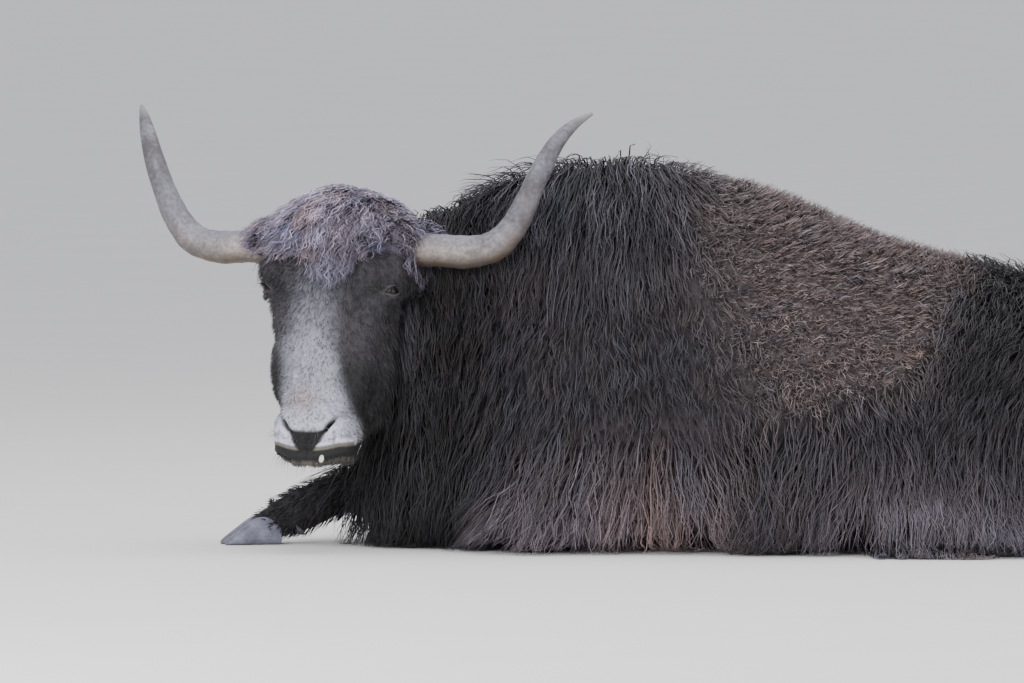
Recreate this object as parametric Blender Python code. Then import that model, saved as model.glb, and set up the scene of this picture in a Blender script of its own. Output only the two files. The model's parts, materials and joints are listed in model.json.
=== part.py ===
"""A resting domestic yak as a life-size still model, in metres.

The body lies along X with its rump towards +X, +Z is up and the floor is the plane Z = 0.
The neck bends so that the face looks towards -Y. The trunk and the head are lofted and
blended whole, then parted into nodes by thin cuts. The long coat grows on them as flat,
tapered locks, each rooted in the surface that carries it.
"""

import math
import random
from collections import namedtuple

import bmesh
import bpy
from mathutils import Matrix, Vector
from mathutils.bvhtree import BVHTree

GAP = 0.0003
# How shells are fused into one skin: cell size, rounds of smoothing, triangles that are left
Blend = namedtuple("Blend", "voxel smoothing triangles")
BODY_BLEND, HEAD_BLEND = Blend(0.014, 8, 640), Blend(0.0055, 6, 1400)
REACH = 2.0
UP = Vector((0, 0, 1))

# Trunk: x, crest, widest level, underside, half width, how round the back is
Station = namedtuple("Station", "x top middle low half_width roof")
TRUNK = [
    Station(-0.52, 0.400, 0.24, 0.10, 0.060, 2.0),
    Station(-0.46, 0.520, 0.26, 0.05, 0.150, 1.9),
    Station(-0.36, 0.640, 0.27, -0.03, 0.235, 1.7),
    Station(-0.20, 0.710, 0.27, -0.04, 0.290, 1.5),
    Station(-0.02, 0.700, 0.26, -0.05, 0.325, 1.6),
    Station(0.16, 0.640, 0.24, -0.05, 0.350, 1.8),
    Station(0.34, 0.570, 0.23, -0.05, 0.355, 2.0),
    Station(0.52, 0.520, 0.23, -0.05, 0.330, 2.0),
    Station(0.68, 0.480, 0.23, -0.05, 0.285, 2.0),
    Station(0.80, 0.410, 0.22, -0.03, 0.215, 2.0),
    Station(0.87, 0.320, 0.20, 0.04, 0.120, 2.0),
]
BELLY_ROUNDNESS = 2.3
TRUNK_RINGS, TRUNK_SIDES = 26, 32
SHOULDER_EDGE, BARREL_EDGE = -0.02, 0.42

# Neck: centre line with half widths and half heights
NeckStation = namedtuple("NeckStation", "x y z half_width half_height")
NECK = [
    NeckStation(-0.22, 0.000, 0.420, 0.200, 0.240),
    NeckStation(-0.36, 0.000, 0.410, 0.185, 0.235),
    NeckStation(-0.48, -0.010, 0.415, 0.155, 0.205),
    NeckStation(-0.57, -0.035, 0.425, 0.125, 0.175),
    NeckStation(-0.620, -0.085, 0.430, 0.112, 0.160),
    NeckStation(-0.640, -0.150, 0.430, 0.105, 0.150),
]
NECK_RINGS, NECK_SIDES = 12, 24
NECK_BASE, NECK_BASE_FACES = Vector((-0.42, 0, 0.30)), Vector((-0.90, 0, 0.43))

Bulge = namedtuple("Bulge", "x y z rx ry rz")
MUSCLES = [
    Bulge(-0.17, -0.120, 0.25, 0.260, 0.205, 0.270),
    Bulge(-0.19, 0.115, 0.26, 0.250, 0.200, 0.270),
    Bulge(0.56, -0.120, 0.20, 0.300, 0.235, 0.250),
    Bulge(0.56, 0.120, 0.20, 0.300, 0.235, 0.250),
    Bulge(-0.47, -0.020, 0.25, 0.130, 0.140, 0.230),
]

# Head in its own frame: X to the animal's left, -Y out of the forehead, Z up the face
HEAD_PLACE = Vector((-0.643, -0.120, 0.554))
HEAD_TURN, HEAD_NOD = math.radians(-22), math.radians(-23)
HeadStation = namedtuple("HeadStation", "z front back half_width square")
SKULL = [
    HeadStation(0.100, -0.020, 0.030, 0.050, 2.0),
    HeadStation(0.080, -0.052, 0.065, 0.088, 2.1),
    HeadStation(0.040, -0.070, 0.100, 0.112, 2.3),
    HeadStation(-0.010, -0.077, 0.120, 0.117, 2.4),
    HeadStation(-0.070, -0.079, 0.130, 0.111, 2.6),
    HeadStation(-0.130, -0.072, 0.140, 0.100, 2.6),
    HeadStation(-0.190, -0.062, 0.130, 0.090, 2.6),
    HeadStation(-0.250, -0.055, 0.100, 0.080, 2.6),
    HeadStation(-0.300, -0.052, 0.080, 0.073, 2.7),
    HeadStation(-0.345, -0.054, 0.066, 0.073, 2.9),
    HeadStation(-0.380, -0.053, 0.056, 0.074, 3.0),
    HeadStation(-0.404, -0.040, 0.044, 0.062, 2.6),
]
MANDIBLE = [
    HeadStation(-0.150, 0.040, 0.160, 0.058, 2.2),
    HeadStation(-0.210, 0.030, 0.143, 0.060, 2.2),
    HeadStation(-0.280, 0.010, 0.112, 0.054, 2.2),
    HeadStation(-0.340, -0.010, 0.085, 0.050, 2.3),
    HeadStation(-0.385, -0.026, 0.066, 0.053, 2.4),
    HeadStation(-0.416, -0.036, 0.050, 0.054, 2.5),
    HeadStation(-0.436, -0.026, 0.030, 0.038, 2.2),
]
FACE_BULGES = [
    Bulge(0.066, 0.080, -0.125, 0.042, 0.080, 0.095),
    Bulge(0.079, 0.000, -0.095, 0.040, 0.050, 0.040),
    Bulge(0.068, -0.020, -0.058, 0.048, 0.052, 0.050),
    Bulge(0.080, 0.045, -0.112, 0.034, 0.070, 0.030),
    Bulge(0.066, 0.000, -0.155, 0.032, 0.042, 0.075),
    Bulge(0.046, -0.034, -0.366, 0.030, 0.027, 0.036),
    Bulge(0.050, 0.006, -0.388, 0.032, 0.050, 0.026),
]
HEAD_RINGS, HEAD_SIDES = 30, 28
HEAD_HALF_WIDTH = 0.130
MUZZLE_EDGE, MUZZLE_FACES = Vector((0, 0, -0.300)), Vector((0, 0.12, -1))

# The mouth line and the jaw's upper edge, as points of the head's own Y and Z
JAW_LINE = [(-0.140, -0.446), (-0.045, -0.402), (0.035, -0.365), (0.075, -0.260), (0.220, -0.080)]
HEAD_OUTLINE = [
    (-0.40, 0.300),
    (-0.024, 0.300),
    (0.157, -0.160),
    (0.165, -0.180),
    (0.075, -0.420),
    (0.040, -0.470),
    (-0.40, -0.470),
]
JAW_SPACE = [(0.300, -0.080), (0.300, -0.600), (-0.140, -0.600)]
MOUTH_WEDGE = [(-0.140, -0.440), (0.030, -0.3665), (0.030, -0.3690), (-0.140, -0.455)]
NOSTRIL = Bulge(0.0425, -0.056, -0.369, 0.0055, 0.0200, 0.0215)
NOSTRIL_SLANT = math.radians(34)

EYE_PLACE = Vector((0.0985, -0.0245, -0.0965))
EYE_RADIUS = 0.0205
EYE_LOOKS = Vector((0.84, -0.54, -0.05)).normalized()
LID_OPENING, LID_CORNERS = (0.0155, 0.0090), 0.35
LID_DEPTHS, LID_SIDES, EYE_SIDES = (0.004, 0.050), 10, 12
LIDS = Bulge(EYE_PLACE.x, EYE_PLACE.y, EYE_PLACE.z, 0.027, 0.027, 0.026)

INCISOR_PLACE = Vector((0.006, -0.034, -0.405))
INCISOR_EDGE = 0.0015
INCISOR_SIZE = Matrix.Diagonal((0.009, 0.006, 0.014, 1))

# Horn: left one in the head's turned but level frame, as outward, backward, upward, radius
HornStation = namedtuple("HornStation", "out back up radius")
HORN = [
    HornStation(0.070, 0.010, 0.000, 0.030),
    HornStation(0.130, 0.008, -0.002, 0.031),
    HornStation(0.190, 0.008, -0.003, 0.0305),
    HornStation(0.250, 0.010, -0.005, 0.0300),
    HornStation(0.300, 0.014, 0.008, 0.0280),
    HornStation(0.336, 0.018, 0.045, 0.0250),
    HornStation(0.362, 0.020, 0.095, 0.0215),
    HornStation(0.386, 0.028, 0.150, 0.0190),
    HornStation(0.408, 0.048, 0.198, 0.0150),
    HornStation(0.430, 0.080, 0.230, 0.0095),
    HornStation(0.450, 0.115, 0.248, 0.0035),
]
HORN_RINGS, HORN_SIDES = 15, 10

# Ear: a cupped leaf swept back below the horn, in the head's own frame
EAR_ROOT = Vector((0.098, 0.048, -0.028))
EAR_POINTS = Vector((0.62, 0.74, -0.26)).normalized()
EAR_OPENS = Vector((0.55, -0.60, -0.58))
EAR_LENGTH, EAR_HALF_WIDTH, EAR_THICKNESS, EAR_CUP = 0.150, 0.036, 0.007, 0.022
# Share of the length, width, thickness and cupping along the ear
EAR_SHAPE = [
    (0.00, 0.42, 2.2, 0.00),
    (0.10, 0.55, 1.9, 0.35),
    (0.25, 0.85, 1.1, 0.95),
    (0.50, 1.00, 0.8, 1.00),
    (0.75, 0.80, 0.7, 0.70),
    (0.92, 0.40, 0.6, 0.30),
    (1.00, 0.10, 0.5, 0.00),
]
EAR_SIDES = 12

# Limbs: centre line with half width and half height
Limb = namedtuple("Limb", "x y z half_width half_height")
LIMBS = {
    "forearm_right": [
        Limb(-0.300, 0.130, 0.150, 0.060, 0.065),
        Limb(-0.400, 0.095, 0.150, 0.052, 0.056),
        Limb(-0.490, 0.060, 0.135, 0.042, 0.045),
        Limb(-0.545, 0.040, 0.122, 0.038, 0.040),
    ],
    "cannon_fore_right": [
        Limb(-0.5453, 0.040, 0.122, 0.038, 0.040),
        Limb(-0.590, 0.026, 0.108, 0.033, 0.035),
        Limb(-0.650, 0.008, 0.084, 0.029, 0.031),
        Limb(-0.705, -0.008, 0.062, 0.034, 0.037),
        Limb(-0.745, -0.020, 0.047, 0.036, 0.036),
        Limb(-0.768, -0.027, 0.042, 0.036, 0.032),
    ],
    "forearm_left": [
        Limb(-0.020, -0.225, 0.120, 0.070, 0.080),
        Limb(-0.110, -0.250, 0.105, 0.060, 0.070),
        Limb(-0.220, -0.265, 0.070, 0.048, 0.055),
        Limb(-0.310, -0.268, 0.048, 0.045, 0.050),
        Limb(-0.352, -0.266, 0.040, 0.028, 0.032),
    ],
    "cannon_fore_left": [
        Limb(-0.325, -0.232, 0.033, 0.030, 0.035),
        Limb(-0.270, -0.192, 0.031, 0.028, 0.033),
        Limb(-0.200, -0.175, 0.031, 0.030, 0.034),
        Limb(-0.165, -0.170, 0.030, 0.034, 0.034),
    ],
    "shank_left": [
        Limb(0.340, -0.260, 0.120, 0.075, 0.100),
        Limb(0.440, -0.295, 0.095, 0.060, 0.086),
        Limb(0.560, -0.315, 0.064, 0.042, 0.058),
        Limb(0.650, -0.320, 0.047, 0.037, 0.049),
        Limb(0.695, -0.326, 0.038, 0.026, 0.034),
    ],
    "cannon_hind_left": [
        Limb(0.672, -0.346, 0.034, 0.031, 0.037),
        Limb(0.600, -0.370, 0.033, 0.029, 0.035),
        Limb(0.500, -0.378, 0.032, 0.030, 0.034),
        Limb(0.450, -0.380, 0.032, 0.034, 0.034),
    ],
}
MIRRORED_LIMBS = {"shank_right": "shank_left", "cannon_hind_right": "cannon_hind_left"}
LIMB_RINGS, LIMB_SIDES = 5, 8

# Hooves: heel place, heading in degrees from +X, and the cannon that carries the pair
HoofPair = namedtuple("HoofPair", "name x y heading")
HOOVES = [
    HoofPair("hoof_fore_right", -0.7685, -0.0270, 196),
    HoofPair("hoof_fore_left", -0.1645, -0.1700, 8),
    HoofPair("hoof_hind_left", 0.4495, -0.3800, 180),
    HoofPair("hoof_hind_right", 0.4495, 0.3800, 180),
]
CLAW_LENGTH, CLAW_HALF_WIDTH, CLAW_HEIGHT, CLEFT = 0.098, 0.0190, 0.054, 0.003
# Share of the length, width and height along a claw, from heel to toe
CLAW_SHAPE = [
    (-0.05, 0.75, 0.62),
    (0.10, 0.95, 0.88),
    (0.38, 1.00, 1.00),
    (0.68, 0.96, 0.74),
    (0.92, 0.74, 0.42),
    (1.00, 0.44, 0.26),
]
CLAW_SQUARE, CLAW_LEAN, CLAW_TOE_IN = 2.6, 0.22, 0.25
CLAW_SIDES, DEWCLAW_SIDES = 8, 5
# Share of the length of a dewclaw with its radius there
DEWCLAW_SHAPE = [(0.0, 0.0095), (0.6, 0.0085), (1.0, 0.0040)]
DEWCLAW_ROOT, DEWCLAW_TIP = Vector((-0.034, 0.022, 0.030)), Vector((-0.056, 0.045, 0.022))
LEG_PAIRS = [
    ("forearm_right", "cannon_fore_right"),
    ("forearm_left", "cannon_fore_left"),
    ("shank_left", "cannon_hind_left"),
    ("shank_right", "cannon_hind_right"),
]

TailStation = namedtuple("TailStation", "x y z half_width half_height")
TAIL = [
    TailStation(0.820, 0.000, 0.330, 0.032, 0.030),
    TailStation(0.905, -0.005, 0.270, 0.026, 0.026),
    TailStation(0.945, -0.020, 0.170, 0.022, 0.022),
    TailStation(0.960, -0.070, 0.080, 0.020, 0.020),
    TailStation(0.945, -0.150, 0.036, 0.018, 0.018),
    TailStation(0.900, -0.220, 0.026, 0.014, 0.014),
]
TAIL_RINGS, TAIL_SIDES = 10, 7

# Coat: length, width, thickness and standing-out of a lock, in metres
Coat = namedtuple("Coat", "length width thick lift")
# Rows of locks round the trunk: angle over the horizon, first and last x, number, coat
Row = namedtuple("Row", "angle first last count coat")
MANE = Coat(0.225, 0.118, 0.016, 0.034)
CREST = Coat(0.190, 0.085, 0.018, 0.028)
FLANK = Coat(0.235, 0.125, 0.016, 0.040)
SKIRT = Coat(0.330, 0.128, 0.018, 0.075)
THROAT = Coat(0.240, 0.095, 0.016, 0.034)
CREST_ROW = Row(90, -0.46, 0.70, 9, CREST)
SIDE_ROWS = [
    Row(77, -0.42, 0.72, 9, MANE),
    Row(52, -0.43, 0.68, 9, FLANK),
    Row(28, -0.42, 0.73, 8, FLANK),
    Row(6, -0.40, 0.67, 9, SKIRT),
    Row(-19, -0.40, 0.71, 9, SKIRT),
]
TRUNK_AXIS = 0.30
# Rows round an end of the trunk: angle to each side, height, number, coat, whether over the end
Fan = namedtuple("Fan", "angle height count coat raised")
RUMP_ROWS = [
    Fan(55, 0.30, 3, FLANK, True),
    Fan(58, 0.30, 4, FLANK, False),
    Fan(66, 0.17, 5, SKIRT, False),
]
RUMP_CENTRE = Vector((0.50, 0, 0))
THROAT_ROWS = [
    Fan(48, 0.42, 3, THROAT, False),
    Fan(60, 0.28, 4, THROAT, False),
    Fan(66, 0.15, 4, THROAT, False),
]
THROAT_CENTRE, THROAT_HEADING = Vector((-0.40, 0, 0)), 190
PARTING = -0.09
FLOOR_CLEAR, LOWEST_ROOT = 0.003, 0.02
# Below this height a lock is pushed sideways over a leg, but no further than the longest push
LEG_TOP, LONGEST_PUSH = 0.20, 0.09
# Share of the length and of the width at each ring of a lock, and the strides along it
LOCK_STEPS = [(0.30, 1.00), (0.70, 0.72)]
LOCK_STRIDES = 16
SINK = 0.025
ROOT_WIDTH, THINNEST = 0.70, 0.35
LENGTH_SPREAD, WIDTH_SPREAD, SWAY = (0.88, 1.10), (0.92, 1.08), 0.12
DROOP, CREST_DROOP, FORELOCK_DROOP, TUFT_DROOP = 0.5, 0.1, 0.3, 0.2
# How far the locks of the sides lean away from the parting, and stand off the flanks
LEAN_RATE, MOST_LEAN, SPLAY = 0.9, 0.35, 0.8
CREST_SPLAY, FAN_SPLAY, FAN_RISE = 0.5, 0.25, 0.9

# Forelock: its clumps and the fan in which they hang, in the head's own frame
FORELOCK = Coat(0.092, 0.048, 0.015, 0.020)
FORELOCK_ROWS = [(0.085, 3), (0.045, 4), (0.008, 5)]
FORELOCK_HALF_WIDTH, FORELOCK_FAN = 0.088, 4
# Tail: its locks, and the share of the tail's length over which they grow
TUFT = Coat(0.150, 0.060, 0.016, 0.014)
TUFT_LOCKS, TUFT_FROM, TUFT_TO = 7, 0.30, 0.85
TUFT_SIDES = (-0.9, 0.9, 0.1)
SEED = 7

FINISHES = {
    "coat": ((0.030, 0.026, 0.025), 0.85),
    "face_hair": ((0.075, 0.070, 0.068), 0.80),
    "muzzle_skin": ((0.230, 0.220, 0.215), 0.60),
    "chin_hair": ((0.060, 0.055, 0.052), 0.75),
    "tooth": ((0.650, 0.610, 0.500), 0.30),
    "eye": ((0.012, 0.008, 0.006), 0.08),
    "ear_hair": ((0.060, 0.052, 0.048), 0.85),
    "horn": ((0.300, 0.280, 0.245), 0.45),
    "leg_hair": ((0.050, 0.044, 0.040), 0.80),
    "hoof": ((0.055, 0.055, 0.058), 0.50),
}


def smooth_between(before, start, end, after, share):
    """Catmull-Rom value between start and end."""
    square, cube = share * share, share * share * share
    return 0.5 * (
        2 * start
        + (end - before) * share
        + (2 * before - 5 * start + 4 * end - after) * square
        + (3 * start - before - 3 * end + after) * cube
    )


def read_stations(stations, count):
    """The stations resampled evenly to count tuples along a smooth curve."""
    last = len(stations) - 1
    made = []
    for step in range(count):
        place = step * last / (count - 1)
        index = min(int(place), last - 1)
        near = [stations[min(max(index + k, 0), last)] for k in (-1, 0, 1, 2)]
        values = [smooth_between(*column, place - index) for column in zip(*near)]
        made.append(type(stations[0])(*values))
    return made


def oval(angle, power):
    """A point on a superellipse of half sizes 1."""
    cosine, sine = math.cos(angle), math.sin(angle)
    return (
        math.copysign(abs(cosine) ** (2 / power), cosine),
        math.copysign(abs(sine) ** (2 / power), sine),
    )


def loft(mesh, rings):
    """Adds a closed tube through the rings, each end closed by a fan."""
    rows = [[mesh.verts.new(point) for point in ring] for ring in rings]
    for first, second in zip(rows, rows[1:]):
        for k in range(len(first)):
            after = (k + 1) % len(first)
            mesh.faces.new((first[k], first[after], second[after], second[k]))
    for row, turned in ((rows[0], True), (rows[-1], False)):
        centre = mesh.verts.new(sum((v.co for v in row), Vector()) / len(row))
        for k in range(len(row)):
            corners = (row[k], row[(k + 1) % len(row)], centre)
            mesh.faces.new(corners[::-1] if turned else corners)


def add_bulge(mesh, bulge, mirror=1, turn=0.0):
    """Adds an ellipsoid, turned about Y."""
    place = Matrix.Translation((mirror * bulge.x, bulge.y, bulge.z))
    turned = Matrix.Rotation(mirror * turn, 4, "Y")
    size = Matrix.Diagonal((bulge.rx, bulge.ry, bulge.rz, 1))
    bmesh.ops.create_icosphere(mesh, subdivisions=3, radius=1, matrix=place @ turned @ size)


def trunk_rings():
    """Rings of the trunk from the brisket to the rump."""
    rings = []
    for at in read_stations(TRUNK, TRUNK_RINGS):
        ring = []
        for k in range(TRUNK_SIDES):
            angle = 2 * math.pi * k / TRUNK_SIDES
            across, up = oval(angle, at.roof if angle < math.pi else BELLY_ROUNDNESS)
            height = at.top - at.middle if up > 0 else at.middle - at.low
            ring.append(Vector((at.x, across * at.half_width, at.middle + up * height)))
        rings.append(ring)
    return rings


def tube_rings(stations, count, sides, extra=0.0, power=2.1):
    """Rings square to a centre line of stations with half widths and half heights."""
    resampled = read_stations(stations, count)
    centres = [Vector((at.x, at.y, at.z)) for at in resampled]
    rings = []
    for index, at in enumerate(resampled):
        along = centres[min(index + 1, count - 1)] - centres[max(index - 1, 0)]
        across = along.cross(UP).normalized()
        up = across.cross(along).normalized()
        end = extra * (index == count - 1) - extra * (index == 0)
        centre = centres[index] + along.normalized() * end
        ring = []
        for k in range(sides):
            side, height = oval(2 * math.pi * k / sides, power)
            offset = across * side * (at.half_width + extra) + up * height * (at.half_height + extra)
            ring.append(centre + offset)
        rings.append(ring)
    return rings


def head_rings(stations, count):
    """Rings of the skull or the mandible, in the head's own frame."""
    rings = []
    for at in read_stations(stations, count):
        middle, deep = (at.front + at.back) / 2, (at.back - at.front) / 2
        ring = []
        for k in range(HEAD_SIDES):
            across, back = oval(2 * math.pi * k / HEAD_SIDES, at.square)
            ring.append(Vector((across * at.half_width, middle + back * deep, at.z)))
        rings.append(ring)
    return rings


def head_frame(nod=HEAD_NOD):
    """The head's own frame as a matrix. Without the nod it is turned but level."""
    turn = Matrix.Rotation(HEAD_TURN, 4, "Z") @ Matrix.Rotation(nod, 4, "X")
    return Matrix.Translation(HEAD_PLACE) @ turn


def new_piece(name, mesh):
    """An object made from a bmesh, which is freed."""
    bmesh.ops.triangulate(mesh, faces=mesh.faces)
    bmesh.ops.recalc_face_normals(mesh, faces=mesh.faces)
    if mesh.calc_volume(signed=True) < 0:
        bmesh.ops.reverse_faces(mesh, faces=mesh.faces)
    data = bpy.data.meshes.new(name)
    mesh.to_mesh(data)
    mesh.free()
    piece = bpy.data.objects.new(name, data)
    bpy.context.scene.collection.objects.link(piece)
    return piece


def discard(piece):
    """Removes a helper object."""
    bpy.data.objects.remove(piece)


def apply_modifiers(piece):
    """Bakes the modifiers of a piece into its mesh."""
    graph = bpy.context.evaluated_depsgraph_get()
    data = bpy.data.meshes.new_from_object(piece.evaluated_get(graph))
    piece.modifiers.clear()
    piece.data = data


def blend(piece, sizes):
    """Fuses overlapping shells into one smooth surface of about the stated triangles."""
    fused = piece.modifiers.new("fused", "REMESH")
    fused.mode = "VOXEL"
    fused.voxel_size = sizes.voxel
    relaxed = piece.modifiers.new("relaxed", "SMOOTH")
    relaxed.factor = 0.5
    relaxed.iterations = sizes.smoothing
    apply_modifiers(piece)
    fewer = piece.modifiers.new("fewer", "DECIMATE")
    fewer.ratio = sizes.triangles / (2 * len(piece.data.polygons))
    apply_modifiers(piece)
    return piece


def combine(piece, others, operation):
    """One Boolean of a piece with a collection of others, which are then removed."""
    if not others:
        return piece
    group = bpy.data.collections.new("operands")
    bpy.context.scene.collection.children.link(group)
    for other in others:
        bpy.context.scene.collection.objects.unlink(other)
        group.objects.link(other)
    joined = piece.modifiers.new("joined", "BOOLEAN")
    joined.operation = operation
    joined.operand_type = "COLLECTION"
    joined.collection = group
    joined.solver = "MANIFOLD"
    apply_modifiers(piece)
    for other in others:
        discard(other)
    bpy.data.collections.remove(group)
    return piece


def copy_of(piece):
    """A separate copy of a piece."""
    twin = piece.copy()
    twin.data = piece.data.copy()
    bpy.context.scene.collection.objects.link(twin)
    return twin


def half_space(point, faces, shift=0.0):
    """A large block on the side that a plane faces, moved that way by shift."""
    faces = faces.normalized()
    mesh = bmesh.new()
    bmesh.ops.create_cube(mesh, size=2 * REACH)
    turn = faces.to_track_quat("Z", "Y").to_matrix().to_4x4()
    mesh.transform(Matrix.Translation(point + faces * (REACH + shift)) @ turn)
    return new_piece("half_space", mesh)


def head_prism(outline, shift=(0.0, 0.0), half_width=0.15):
    """A block across the head whose side view is the outline, in the head's own Y and Z."""
    mesh = bmesh.new()
    rings = []
    for side in (-half_width, half_width):
        rings.append([Vector((side, y + shift[0], z + shift[1])) for y, z in outline])
    rows = [[mesh.verts.new(point) for point in ring] for ring in rings]
    for k in range(len(outline)):
        after = (k + 1) % len(outline)
        mesh.faces.new((rows[0][k], rows[0][after], rows[1][after], rows[1][k]))
    mesh.faces.new(rows[0][::-1])
    mesh.faces.new(rows[1])
    mesh.transform(head_frame())
    return new_piece("prism", mesh)


def keep_largest(piece):
    """Keeps only the largest closed surface of a piece and merges its finest slivers."""
    mesh = bmesh.new()
    mesh.from_mesh(piece.data)
    unseen, islands = set(mesh.verts), []
    while unseen:
        island, edge = set(), [unseen.pop()]
        while edge:
            vertex = edge.pop()
            island.add(vertex)
            for joined in vertex.link_edges:
                other = joined.other_vert(vertex)
                if other in unseen:
                    unseen.remove(other)
                    edge.append(other)
        islands.append(island)
    largest = max(islands, key=span_of)
    bmesh.ops.delete(mesh, geom=[v for v in mesh.verts if v not in largest], context="VERTS")
    mesh.to_mesh(piece.data)
    mesh.free()
    return piece


def span_of(island):
    """Volume of the box round an island of vertices."""
    corners = [v.co for v in island]
    sides = [max(c[k] for c in corners) - min(c[k] for c in corners) for k in range(3)]
    return sides[0] * sides[1] * sides[2]


def grown(piece, amount=GAP):
    """A copy whose faces all stand out by an amount."""
    twin = copy_of(piece)
    mesh = bmesh.new()
    mesh.from_mesh(twin.data)
    mesh.normal_update()
    moves = [v.normal * amount * min(v.calc_shell_factor(), 3.0) for v in mesh.verts]
    for vertex, move in zip(mesh.verts, moves):
        vertex.co += move
    mesh.to_mesh(twin.data)
    mesh.free()
    return twin


def clear_of(piece, rooms):
    """Cuts a piece clear of the rooms that others take up."""
    return combine(piece, [copy_of(room) for room in rooms], "DIFFERENCE")


def trim(piece, *spaces):
    """Keeps the part of a piece that lies in every one of the spaces."""
    for space in spaces:
        combine(piece, [space], "INTERSECT")
    return piece


def above_floor():
    """The space over the floor."""
    return half_space(Vector((0, 0, 0)), UP)


def build_body():
    """The blended trunk and neck, under their coat."""
    mesh = bmesh.new()
    loft(mesh, trunk_rings())
    loft(mesh, tube_rings(NECK, NECK_RINGS, NECK_SIDES))
    for muscle in MUSCLES:
        add_bulge(mesh, muscle)
    return blend(new_piece("body", mesh), BODY_BLEND)


class Grower:
    """Grows locks on the surface of a piece, clear of the pieces round it."""

    def __init__(self, piece, legs, draw):
        self.skin = BVHTree.FromObject(piece, bpy.context.evaluated_depsgraph_get())
        whole = bmesh.new()
        for solid in legs:
            whole.from_mesh(solid.data)
        self.legs = BVHTree.FromBMesh(whole)
        whole.free()
        self.draw = draw
        self.locks = []

    def keep_off(self, point, lift):
        """The point moved out until it is clear of the skin, and of a leg under it."""
        place, normal, _, _ = self.skin.find_nearest(point)
        point = point + normal * max(lift - (point - place).dot(normal), 0)
        if point.z < LEG_TOP:
            away = Vector((0, math.copysign(1, point.y), 0))
            over, _, _, _ = self.legs.ray_cast(point + away * REACH, -away)
            push = (over - point).dot(away) + lift / 3 if over else 0
            if 0 < push < LONGEST_PUSH:
                point = point + away * push
        return point, normal

    def path(self, place, normal, flow, coat, droop):
        """The middle line of a lock, as points with their way along and their way out."""
        line = [(place, flow, normal)]
        point, along = place, flow
        lowest = FLOOR_CLEAR + coat.thick / 4
        for stride in range(LOCK_STRIDES):
            share = (stride + 1) / LOCK_STRIDES
            sag = droop * share * 4 / LOCK_STRIDES
            along = (along * (1 - sag) - UP * sag).normalized()
            along = (along - normal * min(along.dot(normal), 0)).normalized()
            point = point + along * coat.length / LOCK_STRIDES
            point, normal = self.keep_off(point, coat.lift * share**0.6)
            if point.z < lowest:
                point.z = lowest
                line.append((point, along, normal))
                break
            line.append((point, along, normal))
        last = len(line) - 1
        rings = [line[max(round(share * last), 1)] for share, _ in LOCK_STEPS]
        return [(place - normal * SINK, flow, normal)] + rings + [line[last]]

    def grow(self, outside, inside, flow, coat, droop=DROOP):
        """Grows one lock where a line from outside meets the surface."""
        place, normal, _, _ = self.skin.ray_cast(outside, (inside - outside).normalized())
        if place is None or place.z < LOWEST_ROOT:
            return
        coat = coat._replace(
            length=coat.length * self.draw.uniform(*LENGTH_SPREAD),
            width=coat.width * self.draw.uniform(*WIDTH_SPREAD),
        )
        flow = (flow - normal * flow.dot(normal)).normalized()
        flow = (flow + normal.cross(flow) * self.draw.uniform(-SWAY, SWAY)).normalized()
        points = self.path(place, normal, flow, coat, droop)
        widths = [ROOT_WIDTH] + [width for _, width in LOCK_STEPS]
        rings = []
        for (point, along, out), width in zip(points[:-1], widths):
            side = along.cross(out).normalized() * width * coat.width / 2
            deep = coat.thick * (THINNEST + (1 - THINNEST) * width)
            ridge = side.cross(along).normalized() * deep
            rings.append([point + side, point + ridge, point - side])
        self.add(rings, points[-1][0])

    def add(self, rings, tip):
        """Adds a closed, three-sided lock."""
        mesh = bmesh.new()
        for point in [tip] + [point for ring in rings for point in ring]:
            point.z = max(point.z, FLOOR_CLEAR)
        rows = [[mesh.verts.new(point) for point in ring] for ring in rings]
        end = mesh.verts.new(tip)
        for first, second in zip(rows, rows[1:]):
            for k in range(3):
                after = (k + 1) % 3
                mesh.faces.new((first[k], first[after], second[after], second[k]))
        for k in range(3):
            mesh.faces.new((rows[-1][k], rows[-1][(k + 1) % 3], end))
        mesh.faces.new(rows[0][::-1])
        self.locks.append(new_piece("lock", mesh))


def spread(first, last, count, draw, jitter=0.12):
    """Evenly spread values, each shifted by up to a share of the spacing."""
    spacing = (last - first) / max(count - 1, 1)
    return [first + spacing * (k + draw.uniform(-jitter, jitter)) for k in range(count)]


def grow_sides(grower):
    """Rows of locks from the crest of the back down to the floor, on both sides."""
    row = CREST_ROW
    for x in spread(row.first, row.last, row.count, grower.draw):
        inside = Vector((x, 0, TRUNK_AXIS))
        flow = Vector((1, grower.draw.choice((-CREST_SPLAY, CREST_SPLAY)), 0))
        grower.grow(inside + UP, inside, flow, row.coat, CREST_DROOP)
    for row in SIDE_ROWS:
        for side in (-1, 1):
            angle = math.radians(row.angle)
            ray = Vector((0, side * math.cos(angle), math.sin(angle)))
            for x in spread(row.first, row.last, row.count, grower.draw):
                inside = Vector((x, 0, TRUNK_AXIS))
                lean = max(-MOST_LEAN, min(MOST_LEAN, LEAN_RATE * (x - PARTING)))
                flow = Vector((lean, side * SPLAY * max(math.sin(angle), 0), -1))
                grower.grow(inside + ray, inside, flow, row.coat)


def grow_fan(grower, centre, heading, rows):
    """Rows of locks that hang round one end of the trunk."""
    for row in rows:
        for turn in spread(-row.angle, row.angle, row.count, grower.draw):
            way = math.radians(heading + turn)
            ray = Vector((math.cos(way), math.sin(way), 0))
            inside = Vector((centre.x, centre.y, row.height))
            if row.raised:
                ray += UP * FAN_RISE
            grower.grow(inside + ray, inside, ray * FAN_SPLAY - UP, row.coat)


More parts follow.
